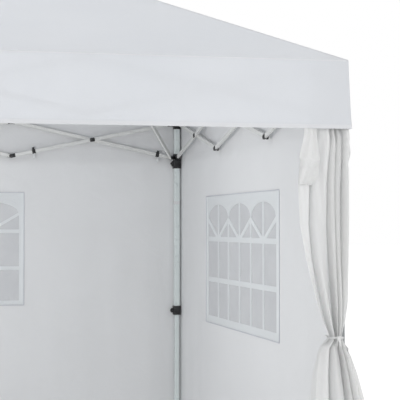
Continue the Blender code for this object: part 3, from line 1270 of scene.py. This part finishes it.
@dataclass
class Wall:
    """One fabric wall in two halves, with half a window in each."""

    side: Side
    window: WindowSize
    cloth: bpy.types.Material
    lattice: bpy.types.Material
    pane: bpy.types.Material
    tape: bpy.types.Material
    thick: float = 0.0008
    plane: float = 1.5135
    front_edge: float = 1.5075
    lap: float = 0.006
    bar_proud: float = 0.0018
    bar_thick: float = 0.0034
    tape_proud: float = 0.0040
    tape_width: float = 0.0045
    hem_width: float = 0.030
    low: float = 0.020
    high: float = 1.980
    relief: float = 0.0032

    def out(self, u: np.ndarray, z: np.ndarray) -> np.ndarray:
        """How far out the cloth hangs.

        Args:
            u: Distance along the wall from the canopy's middle.
            z: Height.

        Returns:
            The distances from the canopy's middle.
        """
        size = self.window
        near = np.abs(u - size.middle) - size.half
        calm = ease((PLAN.half - np.abs(u)) / 0.16) * (0.25 + 0.75 * ease(near / 0.2))
        slack = 0.4 + 0.6 * ease((1.9 - z) / 1.6)
        folds = np.sin(u * 13.0 + 0.8 * np.sin(z * 2.1)) + 0.5 * np.sin(u * 31.0 + z * 1.7)
        hollow = 0.6 * np.sin(z * 3.3 + u * 2.0)
        return self.plane + self.relief * calm * slack * (folds + hollow)

    def points(self, u: np.ndarray, z: np.ndarray, proud: float = 0.0) -> np.ndarray:
        """Points on the wall.

        Args:
            u: Distances along the wall from the canopy's middle.
            z: Heights.
            proud: How far inside the cloth they lie.

        Returns:
            The points, one row each.
        """
        outward = np.array(self.side.outward)
        along = np.abs(np.array(self.side.toward(self.side.legs[1])))
        level = outward * (self.out(u, z) - proud)[:, None] + along * u[:, None]
        return level + np.column_stack((u * 0, u * 0, z))

    def lattice_strip(self, start: Mark, end: Mark, width: float, proud: float) -> bpy.types.Object:
        """A straight bar that follows the wall's cloth.

        Args:
            start: Its first place along the wall and its height there.
            end: Its last place.
            width: Its width.
            proud: How far inside the cloth it lies.

        Returns:
            The bar.
        """
        cells = max(1, int(math.dist(start, end) / 0.05))
        u, z = np.linspace(start, end, cells + 1).T
        return strip(self.points(u, z, proud), width, -self.side.outward, self.bar_thick)

    def build_lattice(self, near: float, far: float) -> bpy.types.Object:
        """Frame, bars, mullions, arches and fan bars from the window's middle to one edge.

        Args:
            near: The window's middle.
            far: Its outer edge.

        Returns:
            The lattice in one piece.
        """
        size = self.window
        hand = 1.0 if far > near else -1.0
        edge = far - hand * size.frame / 2
        inner = far - hand * size.frame
        foot_rail = (size.bottom + size.sill) / 2
        column = size.column * hand
        runs = [
            ((edge, size.bottom), (edge, size.top), size.frame),
            ((near, foot_rail), (far, foot_rail), size.sill - size.bottom),
        ]
        runs += [((near, height), (inner, height), size.rail) for height in size.bars]
        for number in range(3):
            at = near + column * number
            width = size.mullion if number else size.mullion / 2
            shift = 0.0 if number else hand * width / 2
            head = size.apex if number % 2 == 0 else size.spring
            runs.append(((at + shift, size.sill), (at + shift, head), width))
        for foot, head in FAN_COLUMNS:
            low = near + column * foot, size.bars[1]
            runs.append((low, (near + column * head, size.spring), size.mullion))
        parts = [self.lattice_strip(*run, self.bar_proud) for run in runs]

        def above_arches(u: np.ndarray, v: np.ndarray) -> np.ndarray:
            """Points between the arches and the window's top."""
            z = size.arch(u - size.middle) * (1 - v) + size.top * v
            return self.points(u, z, self.bar_proud)

        across = stops((near, 0), (inner, 36))
        up = stops((0.0, 0), (1.0, 3))
        fill = cut_cloth(across, up, above_arches, -self.side.outward, self.bar_thick)
        return joined([fill, *parts])

    def build_half(self, leg: Leg) -> bpy.types.Object:
        """Builds the half of the wall that hangs on one leg.

        Args:
            leg: The leg.

        Returns:
            The half's cloth.
        """
        size, side = self.window, self.side
        hand = 1.0 if sum(side.toward(leg)) > 0 else -1.0
        corner = hand * (self.plane if leg.hand.y > 0 else self.front_edge)
        middle, far = size.middle, size.middle + hand * size.half
        hole_edge = far - hand * self.lap
        low, high = size.bottom + self.lap, size.top - self.lap
        cloth = cut_cloth(
            stops((middle, 0), (hole_edge, 28), (corner, 34)),
            stops((self.low, 0), (low, 30), (high, 26), (self.high, 18)),
            self.points,
            side.outward,
            self.thick,
            opening=(*sorted((middle, hole_edge)), low, high),
        )
        pane = cut_cloth(
            stops((middle, 0), (far - hand * size.frame / 2, 26)),
            stops((low, 0), (high, 26)),
            lambda u, v: self.points(u, v, -0.0004),
            side.outward,
            0.0006,
        )
        lattice = self.build_lattice(middle, far)
        hem = cut_cloth(
            stops((middle, 0), (corner, 50)),
            stops((self.low, 0), (self.low + self.hem_width, 2)),
            lambda u, v: self.points(u, v, -0.001),
            side.outward,
            0.003,
        )
        stitch = self.build_stitch(middle, far)
        where = f"{side.title}_{leg.title}"
        anchor = PLAN.leg_point(leg, self.high)
        for piece, title, look in (
            (cloth, "wall", self.cloth),
            (hem, "wall_hem", self.cloth),
            (pane, "window_film", self.pane),
            (lattice, "window_bars", self.lattice),
            (stitch, "window_stitching", self.tape),
        ):
            finish(piece, f"{title}_{where}", leg.body, look)
            side.toward(leg)
            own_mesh(piece)
        width, tall = abs(corner - middle), self.high - self.low
        hole = size.half * (size.top - size.bottom)
        width * tall - hole
        return cloth

    def build_stitch(self, near: float, far: float) -> bpy.types.Object:
        """The stitched edge round half the window.

        Args:
            near: The window's middle.
            far: Its outer edge.

        Returns:
            The edge in one piece.
        """
        size = self.window
        marks = [(near, size.top), (far, size.top), (far, size.bottom), (near, size.bottom)]
        width, proud = self.tape_width, self.tape_proud
        return joined([self.lattice_strip(a, b, width, proud) for a, b in zip(marks, marks[1:])])

    def build(self) -> None:
        """Builds both halves."""
        halves = [self.build_half(leg) for leg in self.side.legs]
        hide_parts(f"{self.side.title}_wall")


# ---- Curtains ----
@dataclass
class Curtain:
    """Half of the front wall, drawn to its leg, tied round it and flaring out below."""

    leg: Leg
    cloth: bpy.types.Material
    thick: float = 0.0009
    # Not the cut's size, which is about 1.5 m wide: set to the cloth that the folds below take up
    flat: tuple[float, float] = (0.50, 1.955)
    back: float = 1.5095
    waist: float = 0.922
    folds: float = 4.6
    fold_keep: float = 0.5
    tie_at: tuple[float, float] = (1.4675, 1.5140)
    tie_half: tuple[float, float] = (0.0295, 0.0500)
    tie_round: float = 3.4
    # Height, inner edge, outer edge and depth of the folds
    shape: tuple[tuple[float, float, float, float], ...] = (
        (1.975, 1.368, 1.520, 0.010),
        (1.745, 1.362, 1.521, 0.011),
        (1.700, 1.350, 1.535, 0.026),
        (1.610, 1.328, 1.533, 0.036),
        (1.515, 1.314, 1.529, 0.042),
        (1.359, 1.318, 1.527, 0.045),
        (1.223, 1.344, 1.524, 0.046),
        (1.067, 1.385, 1.519, 0.045),
        (0.980, 1.414, 1.508, 0.043),
        (0.940, 1.434, 1.497, 0.041),
        (0.922, 1.4385, 1.494, 0.039),
        (0.905, 1.424, 1.503, 0.043),
        (0.885, 1.410, 1.517, 0.048),
        (0.847, 1.397, 1.539, 0.052),
        (0.777, 1.380, 1.563, 0.064),
        (0.680, 1.371, 1.588, 0.070),
        (0.350, 1.348, 1.612, 0.078),
        (0.020, 1.330, 1.624, 0.084),
    )

    def rule(self) -> Rule:
        """The rule of the drawn cloth, over share across and height.

        Returns:
            The rule.
        """
        table = np.array(self.shape[::-1]).T
        hand = self.leg.hand.x

        def hang(u: np.ndarray, z: np.ndarray) -> np.ndarray:
            """Points on the drawn cloth.

            Args:
                u: Shares across, from the opening outward.
                z: Heights.

            Returns:
                The points, one row each.
            """
            inner, outer, depth = (np.interp(z, table[0], table[i]) for i in (1, 2, 3))
            below = ease((self.waist - z) / 0.05)
            drift = 0.10 * np.sin(z * 2.3) + 0.05 * np.sin(z * 6.1 + u * 4.0) + 0.5 * below
            uneven = 0.085 * np.sin(2 * np.pi * u + 0.9 + 0.5 * z)
            uneven += 0.035 * np.sin(5 * np.pi * u + 1.7 * z)
            phase = 2 * np.pi * (self.folds * (u + uneven) + drift)
            crest = (0.5 - 0.5 * np.cos(phase)) ** 0.85
            swell = 0.62 + 0.38 * np.sin(u * 7.3 + z * 1.9 + 0.6) ** 2
            pitch = (outer - inner) / self.folds
            x = inner + (outer - inner) * u - 0.17 * pitch * np.sin(phase) * ease((1.74 - z) / 0.1)
            fine = 0.0022 * np.sin(u * 41 + z * 9.0) * ease((1.7 - z) / 0.1)
            wrap = 0.030 * ease((u - 0.80) / 0.20) * ease((1.72 - z) / 0.12)
            wrap = wrap * ease((x - 1.517) / 0.012)
            ruffle = 0.004 * np.sin(z * 70.0) * ease((u - 0.86) / 0.14) * ease((z - 1.56) / 0.05)
            y = self.back + depth * crest * swell - wrap + fine
            y = np.maximum(y, self.back - wrap)
            return np.column_stack((hand * (x + ruffle), -y, z))

        return hang

    def build_drop(self) -> bpy.types.Object:
        """The drawn cloth in one deeply folded sheet.

        Returns:
            The cloth.
        """
        heights = stops(
            (0.020, 0), (0.680, 34), (0.885, 20), (0.960, 16), (1.300, 24), (1.760, 40), (1.975, 8)
        )
        across = stops((0.0, 0), (1.0, 120))
        return cut_cloth(across, heights, self.rule(), Vector((0, -1, 0)), self.thick, even=False)

    def build_flap(self) -> bpy.types.Object:
        """The leading edge, turned over at the top and rolled under itself.

        Returns:
            The turned edge.
        """
        hand = self.leg.hand.x
        # Inner x, outer x, distance out and height of the turned edge
        line = np.array(
            (
                (1.3450, 1.388, 1.5240, 1.742),
                (1.3370, 1.388, 1.5400, 1.712),
                (1.3260, 1.388, 1.5540, 1.676),
                (1.3130, 1.389, 1.5650, 1.640),
                (1.3080, 1.390, 1.5720, 1.622),
                (1.3090, 1.391, 1.5740, 1.612),
                (1.3130, 1.391, 1.5680, 1.602),
                (1.3170, 1.390, 1.5590, 1.584),
                (1.3140, 1.388, 1.5600, 1.556),
                (1.3120, 1.380, 1.5560, 1.530),
                (1.3160, 1.364, 1.5490, 1.514),
            )
        )
        share = np.linspace(0, 1, len(line))

        def rule(u: np.ndarray, v: np.ndarray) -> np.ndarray:
            """Points on the turned edge.

            Args:
                u: Shares across.
                v: Shares down.

            Returns:
                The points, one row each.
            """
            inner, outer, out, z = (np.interp(v, share, line[:, i]) for i in range(4))
            x = inner + (outer - inner) * u
            bulge = 0.010 * np.sin(np.pi * u) * np.sin(np.pi * v) + 0.0018 * np.sin(u * 14 + v * 9)
            slump = 0.012 * np.sin(np.pi * u) * ease((v - 0.35) / 0.3) * (1 - v)
            return np.column_stack((hand * x, -(out + bulge), z - slump))

        across, down = stops((0.0, 0), (1.0, 14)), stops((0.0, 0), (1.0, 27))
        flap = cut_cloth(across, down, rule, Vector((0, -1, 0)), 0.0)
        soft = flap.modifiers.new("Soften", "SUBSURF")
        soft.levels = soft.render_levels = 1
        return thicken(flap, 0.0012)

    def build_tie(self) -> bpy.types.Object:
        """The narrow tie round the curtain and its leg, with a small knot.

        Returns:
            The tie.
        """
        hand = self.leg.hand.x
        deselect()
        bpy.ops.mesh.primitive_cylinder_add(vertices=48, radius=1.0, depth=0.006, end_fill_type="NOTHING")
        band = bpy.context.object
        for vert in band.data.vertices:
            angle = math.atan2(vert.co.y, vert.co.x)
            cos, sin = math.cos(angle), math.sin(angle)
            reach = (abs(cos) ** self.tie_round + abs(sin) ** self.tie_round) ** (-1 / self.tie_round)
            vert.co.x = hand * self.tie_at[0] + self.tie_half[0] * reach * cos
            vert.co.y = -self.tie_at[1] + self.tie_half[1] * reach * sin
            vert.co.z += self.waist + 0.002 * math.sin(3 * angle)
        band.data.uv_layers[0].name = WEAVE
        thicken(band, 0.0016)
        knot = block((-0.007, -0.004, -0.006), (0.007, 0.004, 0.006))
        with Edit(knot) as edit:
            edit.faces((0, 0, -1))
            bpy.ops.mesh.extrude_region_move(TRANSFORM_OT_translate={"value": (0.003, 0, -0.012)})
            bpy.ops.transform.resize(value=(0.5, 0.5, 1.0))
            bpy.ops.mesh.extrude_region_move(TRANSFORM_OT_translate={"value": (0.002, -0.001, -0.014)})
        bevel(knot, 0.002, 3, 30)
        knot.data.transform(Matrix.Translation((hand * 1.470, -1.5665, self.waist)))
        return smooth(joined([band, knot]), SOFT_ANGLE)

    def build(self) -> None:
        """Builds the curtain, its turned edge and its tie."""
        title, body = self.leg.title, self.leg.body
        drop, flap, tie = self.build_drop(), self.build_flap(), self.build_tie()
        anchor = PLAN.leg_point(self.leg, 1.0)
        for piece, ending in ((drop, ""), (flap, "_turned_edge"), (tie, "_tie")):
            finish(piece, f"{title}_curtain{ending}", body, self.cloth)
            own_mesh(piece)
        node = "left_curtain" if self.leg is Leg.FRONT_LEFT else "right_curtain"
        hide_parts(node)


# ---- Small parts of the frame ----
@dataclass
class TrussFittings:
    """End caps, cross pivots and wall hooks on the truss bars."""

    plastic: bpy.types.Material
    webbing: bpy.types.Material
    cap_length: float = 0.036
    cap_half: float = 0.0112
    cap_inner: float = 0.0040
    cap_outer: float = 0.0068
    rising_hook_at: float = 0.135
    falling_hook_at: float = 0.0837

    def cap_pattern(self, button: bool) -> bpy.types.Object:
        """A moulded end cap round a bar's end at X = 0, open towards the crossing bar.

        Args:
            button: True for a snap button over the pivot.

        Returns:
            The pattern, with the bar running to +X and its outer face to +Y.
        """
        past = PLAN.bar_past + 0.0012
        low = -past, -self.cap_inner, -self.cap_half
        cap = block(low, (self.cap_length - past, self.cap_outer, self.cap_half))
        with Edit(cap) as edit:
            edit.edges((0, 1, 0), beyond=(-1, 0, 0))
            bpy.ops.mesh.bevel(offset=self.cap_half * 0.98, segments=8, affect="EDGES")
            edit.faces((1, 0, 0))
            bpy.ops.mesh.inset(thickness=0.0016, depth=0.0)
            bpy.ops.mesh.extrude_region_move(TRANSFORM_OT_translate={"value": (-0.003, 0, 0)})
        bevel(cap, 0.0007, 2, 50)
        if not button:
            return smooth(cap)
        top = self.cap_outer
        dome = bevel(turned((0, top - 0.001, 0), (0, top + 0.0026, 0), 0.0066, 20), 0.0014, 3)
        return smooth(joined([cap, dome]))

    def cross_pattern(self) -> bpy.types.Object:
        """The moulded cover and button over a cross pivot, standing on +Y.

        Returns:
            The fitting, to be copied.
        """
        cover = block((-0.0150, 0.0050, -0.0118), (0.0150, 0.0080, 0.0118))
        with Edit(cover) as edit:
            edit.edges((0, 1, 0))
            bpy.ops.mesh.bevel(offset=0.0060, segments=5, affect="EDGES")
            edit.faces((0, 1, 0))
            bpy.ops.mesh.inset(thickness=0.0018, depth=0.0006)
        button = turned((0, 0.0078, 0), (0, 0.0102, 0), 0.0070, 20)
        with Edit(button) as edit:
            edit.faces((0, 1, 0))
            bpy.ops.mesh.inset(thickness=0.0018, depth=0.0)
            bpy.ops.mesh.extrude_region_move(TRANSFORM_OT_translate={"value": (0, 0.0008, 0)})
        bevel(button, 0.0006, 2)
        return smooth(joined([cover, button]))

    def hook_pattern(self) -> bpy.types.Object:
        """A black hook clipped over a bar, with its foot below the bar.

        Returns:
            The hook, to be copied.
        """
        clip = block((-0.010, -0.0075, -0.0125), (0.010, 0.0075, 0.0125))
        with Edit(clip) as edit:
            edit.faces((0, 0, -1))
            bpy.ops.mesh.inset(thickness=0.003, depth=0.0)
            bpy.ops.mesh.extrude_region_move(TRANSFORM_OT_translate={"value": (0, 0.002, -0.008)})
            bpy.ops.mesh.extrude_region_move(TRANSFORM_OT_translate={"value": (0, 0.006, -0.005)})
        return smooth(bevel(clip, 0.0012, 2, 30))

    def hook_strap(self) -> bpy.types.Object:
        """The webbing loop that hangs from a hook.

        Returns:
            The strap, to be copied.
        """
        turns = np.linspace(0, 1, 15)
        y = 0.004 + 0.0035 * np.sin(turns * 2 * math.pi)
        z = -0.018 - 0.026 * np.sin(turns * math.pi)
        path = np.column_stack((turns * 0, y, z))
        return smooth(strip(path, 0.014, Vector((0, -1, 0)), 0.0012), 60)

    def build(self) -> None:
        """Puts the fittings on every bar."""
        plain, snap = self.cap_pattern(False), self.cap_pattern(True)
        cross, hook = self.cross_pattern(), self.hook_pattern()
        for side in Side:
            for pair in range(PLAN.pairs):
                for kind, cap, top in (("falling", plain, True), ("rising", snap, False)):
                    start = PLAN.truss_pivot(side, pair, top)
                    end = PLAN.truss_pivot(side, pair + 1, not top)
                    face = side.outward if kind == "falling" else -side.outward
                    shift = face * PLAN.layer
                    way = end - start
                    parts = [
                        copy_of(cap, axes_at(start + shift, way, face)),
                        copy_of(cap, axes_at(end + shift, -way, face)),
                    ]
                    if kind == "rising":
                        parts.append(copy_of(cross, axes_at((start + end) / 2 + shift, way, face)))
                    body = f"{side.title}_{kind}_bar_{pair + 1}"
                    finish(joined(parts), f"{body}_caps", body, self.plastic)
        self.build_hooks(hook)
        discard(plain, snap, cross, hook)

    def build_hooks(self, hook: bpy.types.Object) -> None:
        """Wall hooks near the lower pivots of the back truss's end pairs.

        Args:
            hook: The hook to copy.
        """
        side = Side.BACK
        # Kind and number of the bar, its lower pivot's station and the way that it rises
        spots = (("falling", 1, 1, -1), ("rising", 1, 0, 1), ("rising", 3, 2, 1), ("falling", 3, 3, -1))
        for kind, number, station, hand in spots:
            low = PLAN.truss_pivot(side, station, False)
            high = PLAN.truss_pivot(side, station + hand, True)
            face = side.outward if kind == "falling" else -side.outward
            far = self.rising_hook_at if kind == "rising" else self.falling_hook_at
            at = low + (high - low).normalized() * far + face * PLAN.layer
            along = (high - low).normalized() * hand
            clip = copy_of(hook, axes_at(at, along, -side.outward))
            body = f"back_{kind}_bar_{number}"
            finish(clip, f"{body}_hook", body, self.plastic)
            strap = self.hook_strap()
            strap.data.transform(Matrix.Translation(at) @ Matrix.Rotation(math.pi, 4, "Z"))
            finish(strap, f"{body}_hook_strap", body, self.webbing)


@dataclass
class RoofBolts:
    """Bolts through the rafters' knuckles and the tops of the struts."""

    zinc: bpy.types.Material
    shank: float = 0.0042
    head: float = 0.0072
    washer: float = 0.0085
    tube_face: float = 0.0056
    both_tubes: float = 0.0226

    def pattern(self, reach: float) -> bpy.types.Object:
        """A bolt along +Y with its washers' faces at Y = 0 and at its reach.

        Args:
            reach: The thickness that it holds together.

        Returns:
            The bolt.
        """
        pin = turned((0, -0.001, 0), (0, reach + 0.006, 0), self.shank, 16)
        under = bevel(turned((0, -0.0010, 0), (0, 0.0, 0), self.washer, 24), 0.0003, 1)
        head = turned((0, -0.0044, 0), (0, -0.0010, 0), self.head, 6)
        with Edit(head) as edit:
            edit.faces((0, -1, 0))
            bpy.ops.mesh.inset(thickness=0.0012, depth=0.0004)
        over = bevel(turned((0, reach, 0), (0, reach + 0.001, 0), self.washer, 24), 0.0003, 1)
        nut = bevel(turned((0, reach + 0.001, 0), (0, reach + 0.0048, 0), self.head, 6), 0.0006, 1)
        return smooth(joined([bevel(pin, 0.0008, 1), under, head, over, nut]), 30)

    def build(self) -> None:
        """Puts a bolt at every free pivot of the roof frame."""
        slope = PLAN.slope
        for leg in Leg:
            rafter = leg.inward * math.cos(slope) + UP * math.sin(slope)
            pivot = PLAN.leg_point(leg, PLAN.rafter_pivot) + leg.inward * PLAN.rafter_reach
            body = f"{leg.title}_outer_rafter"
            spots = [("strut_bolt", pivot + rafter * PLAN.strut_at, -leg.beside)]
            if leg is not Leg.BACK_LEFT:
                spots.append(("knuckle_bolt", pivot + rafter * PLAN.outer_rafter, leg.beside))
            for title, at, way in spots:
                bolt = self.pattern(self.both_tubes)
                bolt.data.transform(axes_at(at - way * self.tube_face, rafter, way))
                finish(bolt, f"{leg.title}_{title}", body, self.zinc)


@dataclass
class LegFittings:
    """Slider catches and the straps that hold the walls to the back legs."""

    plastic: bpy.types.Material
    webbing: bpy.types.Material
    strap_height: float = 1.497
    strap_width: float = 0.020
    strap_thick: float = 0.0014
    strap_end: float = 1.5128
    catch_drop: float = 0.036
    slider_face: float = 0.0215

    def build_catch(self, leg: Leg) -> None:
        """The sprung catch on a slider's inner face.

        Args:
            leg: The leg.
        """
        press = Vector((leg.hand.x, 0, 0))
        body = block((-0.008, -0.010, -0.017), (0.008, 0.010, 0.017))
        with Edit(body) as edit:
            edit.faces((1, 0, 0))
            bpy.ops.mesh.inset(thickness=0.003, depth=0.0)
            bpy.ops.mesh.extrude_region_move(TRANSFORM_OT_translate={"value": (0.004, 0, 0)})
            bpy.ops.transform.resize(value=(1.0, 0.85, 0.8))
        bevel(body, 0.0016, 3, 30)
        ring = bevel(turned((0.011, 0, 0.001), (0.017, 0, 0.001), 0.0066, 20), 0.0012, 2)
        catch = smooth(joined([body, ring]))
        at = PLAN.leg_point(leg, PLAN.slider_pivot - self.catch_drop) - press * self.slider_face
        turn = Matrix.Rotation(math.pi if leg.hand.x > 0 else 0.0, 4, "Z")
        catch.data.transform(Matrix.Translation(at) @ turn)
        finish(catch, f"{leg.title}_slider_catch", f"{leg.title}_slider", self.plastic)

    def build_strap(self, leg: Leg) -> None:
        """The hook and loop strap round a back leg, sewn to the corner of the walls.

        Args:
            leg: The leg.
        """
        turns = np.linspace(0, 2 * math.pi, 41) + math.pi / 4
        reach = (np.abs(np.cos(turns)) ** 5 + np.abs(np.sin(turns)) ** 5) ** (-1 / 5)
        half = 0.0178 + 0.0012 * np.linspace(0, 1, 41)
        x = leg.hand.x * (PLAN.leg_at + half * reach * np.cos(turns))
        y = leg.hand.y * (PLAN.leg_at + half * reach * np.sin(turns))
        path = np.column_stack((x, y, 0 * x + self.strap_height))
        rule, around = path_rule(path, np.array(UP))
        width = stops((-self.strap_width / 2, 0), (self.strap_width / 2, 2))
        band = thicken(cut_cloth(around, width, rule, UP, 0.0), self.strap_thick)
        corner = leg.hand * (PLAN.leg_at + 0.0165)
        wall = leg.hand * self.strap_end
        shares = np.linspace(0, 1, 6)
        tail_path = np.array([corner.lerp(wall, t) + UP * self.strap_height for t in shares])
        tail = strip(tail_path, self.strap_width, leg.beside, self.strap_thick)
        strap = smooth(joined([band, tail]), SOFT_ANGLE)
        finish(strap, f"{leg.title}_wall_strap", leg.body, self.webbing)

    def build(self) -> None:
        """Builds the fittings of every leg."""
        for leg in Leg:
            self.build_catch(leg)
            if leg.hand.y > 0:
                self.build_strap(leg)


# ---- Dressing the frame ----
@dataclass
class FrameDress:
    """Materials for the frame's own nodes."""

    plastic: bpy.types.Material
    tube: Colour = (0.72, 0.775, 0.77)
    tube_rubbed: Colour = (0.55, 0.60, 0.595)
    lock_heights: tuple[float, float] = (0.8165, 0.8705)
    bracket_heights: tuple[float, float] = (1.9449, 2.02)

    def build(self) -> None:
        """Gives every node that shows a material."""
        bars = Paint("bar_paint", (0.66, 0.665, 0.65), (0.58, 0.58, 0.57), roughness=0.55).material()
        tubes = Paint("tube_paint", self.tube, self.tube_rubbed).material()
        black = self.lock_heights, self.bracket_heights
        locks = Paint("tube_paint_with_locks", self.tube, self.tube_rubbed, black).material()
        for name, node in frame["nodes"].items():
            if name.endswith(("_slider", "_button", "_hub")):
                look = self.plastic
            elif name.endswith("_upper_leg"):
                look = locks
            elif name.endswith("_lower_leg"):
                look = tubes
            else:
                look = bars
            for slot in node.material_slots:
                slot.material = look


# ---- Studio ----
@dataclass
class Studio:
    """A white floor and backdrop, soft light and the camera."""

    camera_at: tuple[float, float, float] = (-0.2391, -6.5066, 1.3540)
    yaw: float = -13.169
    pitch: float = 1.119
    lens: float = 120.77
    sensor: float = 36.0

    def build_floor(self) -> None:
        """The floor."""
        deselect()
        bpy.ops.mesh.primitive_plane_add(size=160.0)
        floor = bpy.context.object
        floor.name = "studio_floor"
        g = Graph("pale_floor")
        tone = g.noise(g.place(), 0.4, 1.0)
        colour = g.mix(tone, (0.90, 0.90, 0.90), (0.93, 0.93, 0.93))
        glow = {"Emission_Color": (1, 1, 1, 1), "Emission_Strength": 0.16}
        lit = g.shader(Base_Color=colour, Roughness=0.9, **glow)
        floor.data.materials.append(g.done(lit))

    def build_world(self) -> None:
        """Even white light from all round."""
        world = bpy.data.worlds.new("studio")
        world.use_nodes = True
        back = world.node_tree.nodes["Background"]
        back.inputs["Color"].default_value = (1.0, 1.0, 1.0, 1.0)
        back.inputs["Strength"].default_value = 1.0
        bpy.context.scene.world = world

    def build_lamp(self, name: str, at: Sequence[float], size: float, power: float) -> None:
        """A square soft lamp that looks at the canopy's middle.

        Args:
            name: Its name.
            at: Its place.
            size: Its side.
            power: Its watts.
        """
        deselect()
        bpy.ops.object.light_add(type="AREA", location=at)
        lamp = bpy.context.object
        lamp.name = name
        lamp.data.size, lamp.data.energy = size, power
        aim = Vector((0, 0, 1.4)) - Vector(at)
        lamp.rotation_euler = aim.to_track_quat("-Z", "Y").to_euler()

    def build_fill(self) -> None:
        """A large soft globe of light under the roof, which the camera doesn't see."""
        deselect()
        bpy.ops.object.light_add(type="POINT", radius=0.9, location=(0, -0.2, 1.5))
        lamp = bpy.context.object
        lamp.name = "inner_soft_lamp"
        lamp.data.energy = 26.0
        lamp.visible_camera = False

    def build(self) -> None:
        """Builds the studio."""
        self.build_floor()
        self.build_world()
        self.build_lamp("front_soft_lamp", (4.5, -7.0, 4.0), 3.0, 72.0)
        self.build_fill()
        deselect()
        turn = (math.radians(90 + self.pitch), 0.0, math.radians(self.yaw))
        bpy.ops.object.camera_add(location=self.camera_at, rotation=turn)
        camera = bpy.context.object
        camera.data.lens, camera.data.sensor_width = self.lens, self.sensor
        camera.data.clip_end = 300.0
        scene = bpy.context.scene
        scene.camera = camera
        scene.view_settings.view_transform = "Standard"


ROOF_CLOTH = Cloth(
    "roof_polyester", (0.77, 0.785, 0.81), (0.73, 0.75, 0.78), (0.76, 0.78, 0.81), through=0.3
)
HEM_CLOTH = Cloth(
    "hem_polyester", (0.82, 0.83, 0.85), (0.78, 0.79, 0.81), (0.78, 0.79, 0.81), through=0.3
)
WALL_CLOTH = Cloth(
    "wall_polyester", (0.82, 0.825, 0.83), (0.79, 0.795, 0.80), (0.80, 0.81, 0.82), through=0.22
)
CURTAIN_CLOTH = Cloth(
    name="curtain_polyester",
    colour=(0.86, 0.865, 0.87),
    shade=(0.83, 0.83, 0.825),
    glow=(0.90, 0.90, 0.895),
    through=0.6,
    crease=0.5,
)
WINDOW_BARS = Cloth(
    "window_bar_print", (0.90, 0.925, 0.935), (0.87, 0.90, 0.91), (0.88, 0.90, 0.91), through=0.3
)
SEAM_TAPE = Cloth("seam_tape", (0.70, 0.71, 0.75), (0.64, 0.65, 0.70), (0.6, 0.6, 0.65), through=0.3)
BACK_WINDOW = WindowSize(
    middle=0.0,
    half=0.561,
    frame=0.030,
    bottom=0.886,
    top=1.555,
    sill=0.913,
    bars=(1.105, 1.324),
    spring=1.428,
    apex=1.499,
)
SIDE_WINDOW = WindowSize(
    middle=0.100,
    half=0.715,
    frame=0.050,
    bottom=0.821,
    top=1.521,
    sill=0.862,
    bars=(1.062, 1.284),
    spring=1.390,
    apex=1.471,
    rail=0.026,
    mullion=0.024,
)


def main() -> None:
    """Builds everything in order."""
    logging.basicConfig(level=logging.INFO, format="%(message)s")
    Studio().build()
    plastic, webbing = Plastic().material(), Webbing().material()
    FrameDress(plastic).build()
    Roof(ROOF_CLOTH, HEM_CLOTH).build()
    looks = [cloth.material() for cloth in (WALL_CLOTH, WINDOW_BARS, Pane(), SEAM_TAPE)]
    for side, window in ((Side.BACK, BACK_WINDOW), (Side.LEFT, SIDE_WINDOW), (Side.RIGHT, SIDE_WINDOW)):
        Wall(side, window, *looks).build()
    drape = CURTAIN_CLOTH.material()
    for leg in (Leg.FRONT_LEFT, Leg.FRONT_RIGHT):
        Curtain(leg, drape).build()
    TrussFittings(plastic, webbing).build()
    RoofBolts(Zinc().material()).build()
    LegFittings(plastic, webbing).build()


if __name__ == "__main__":
    main()
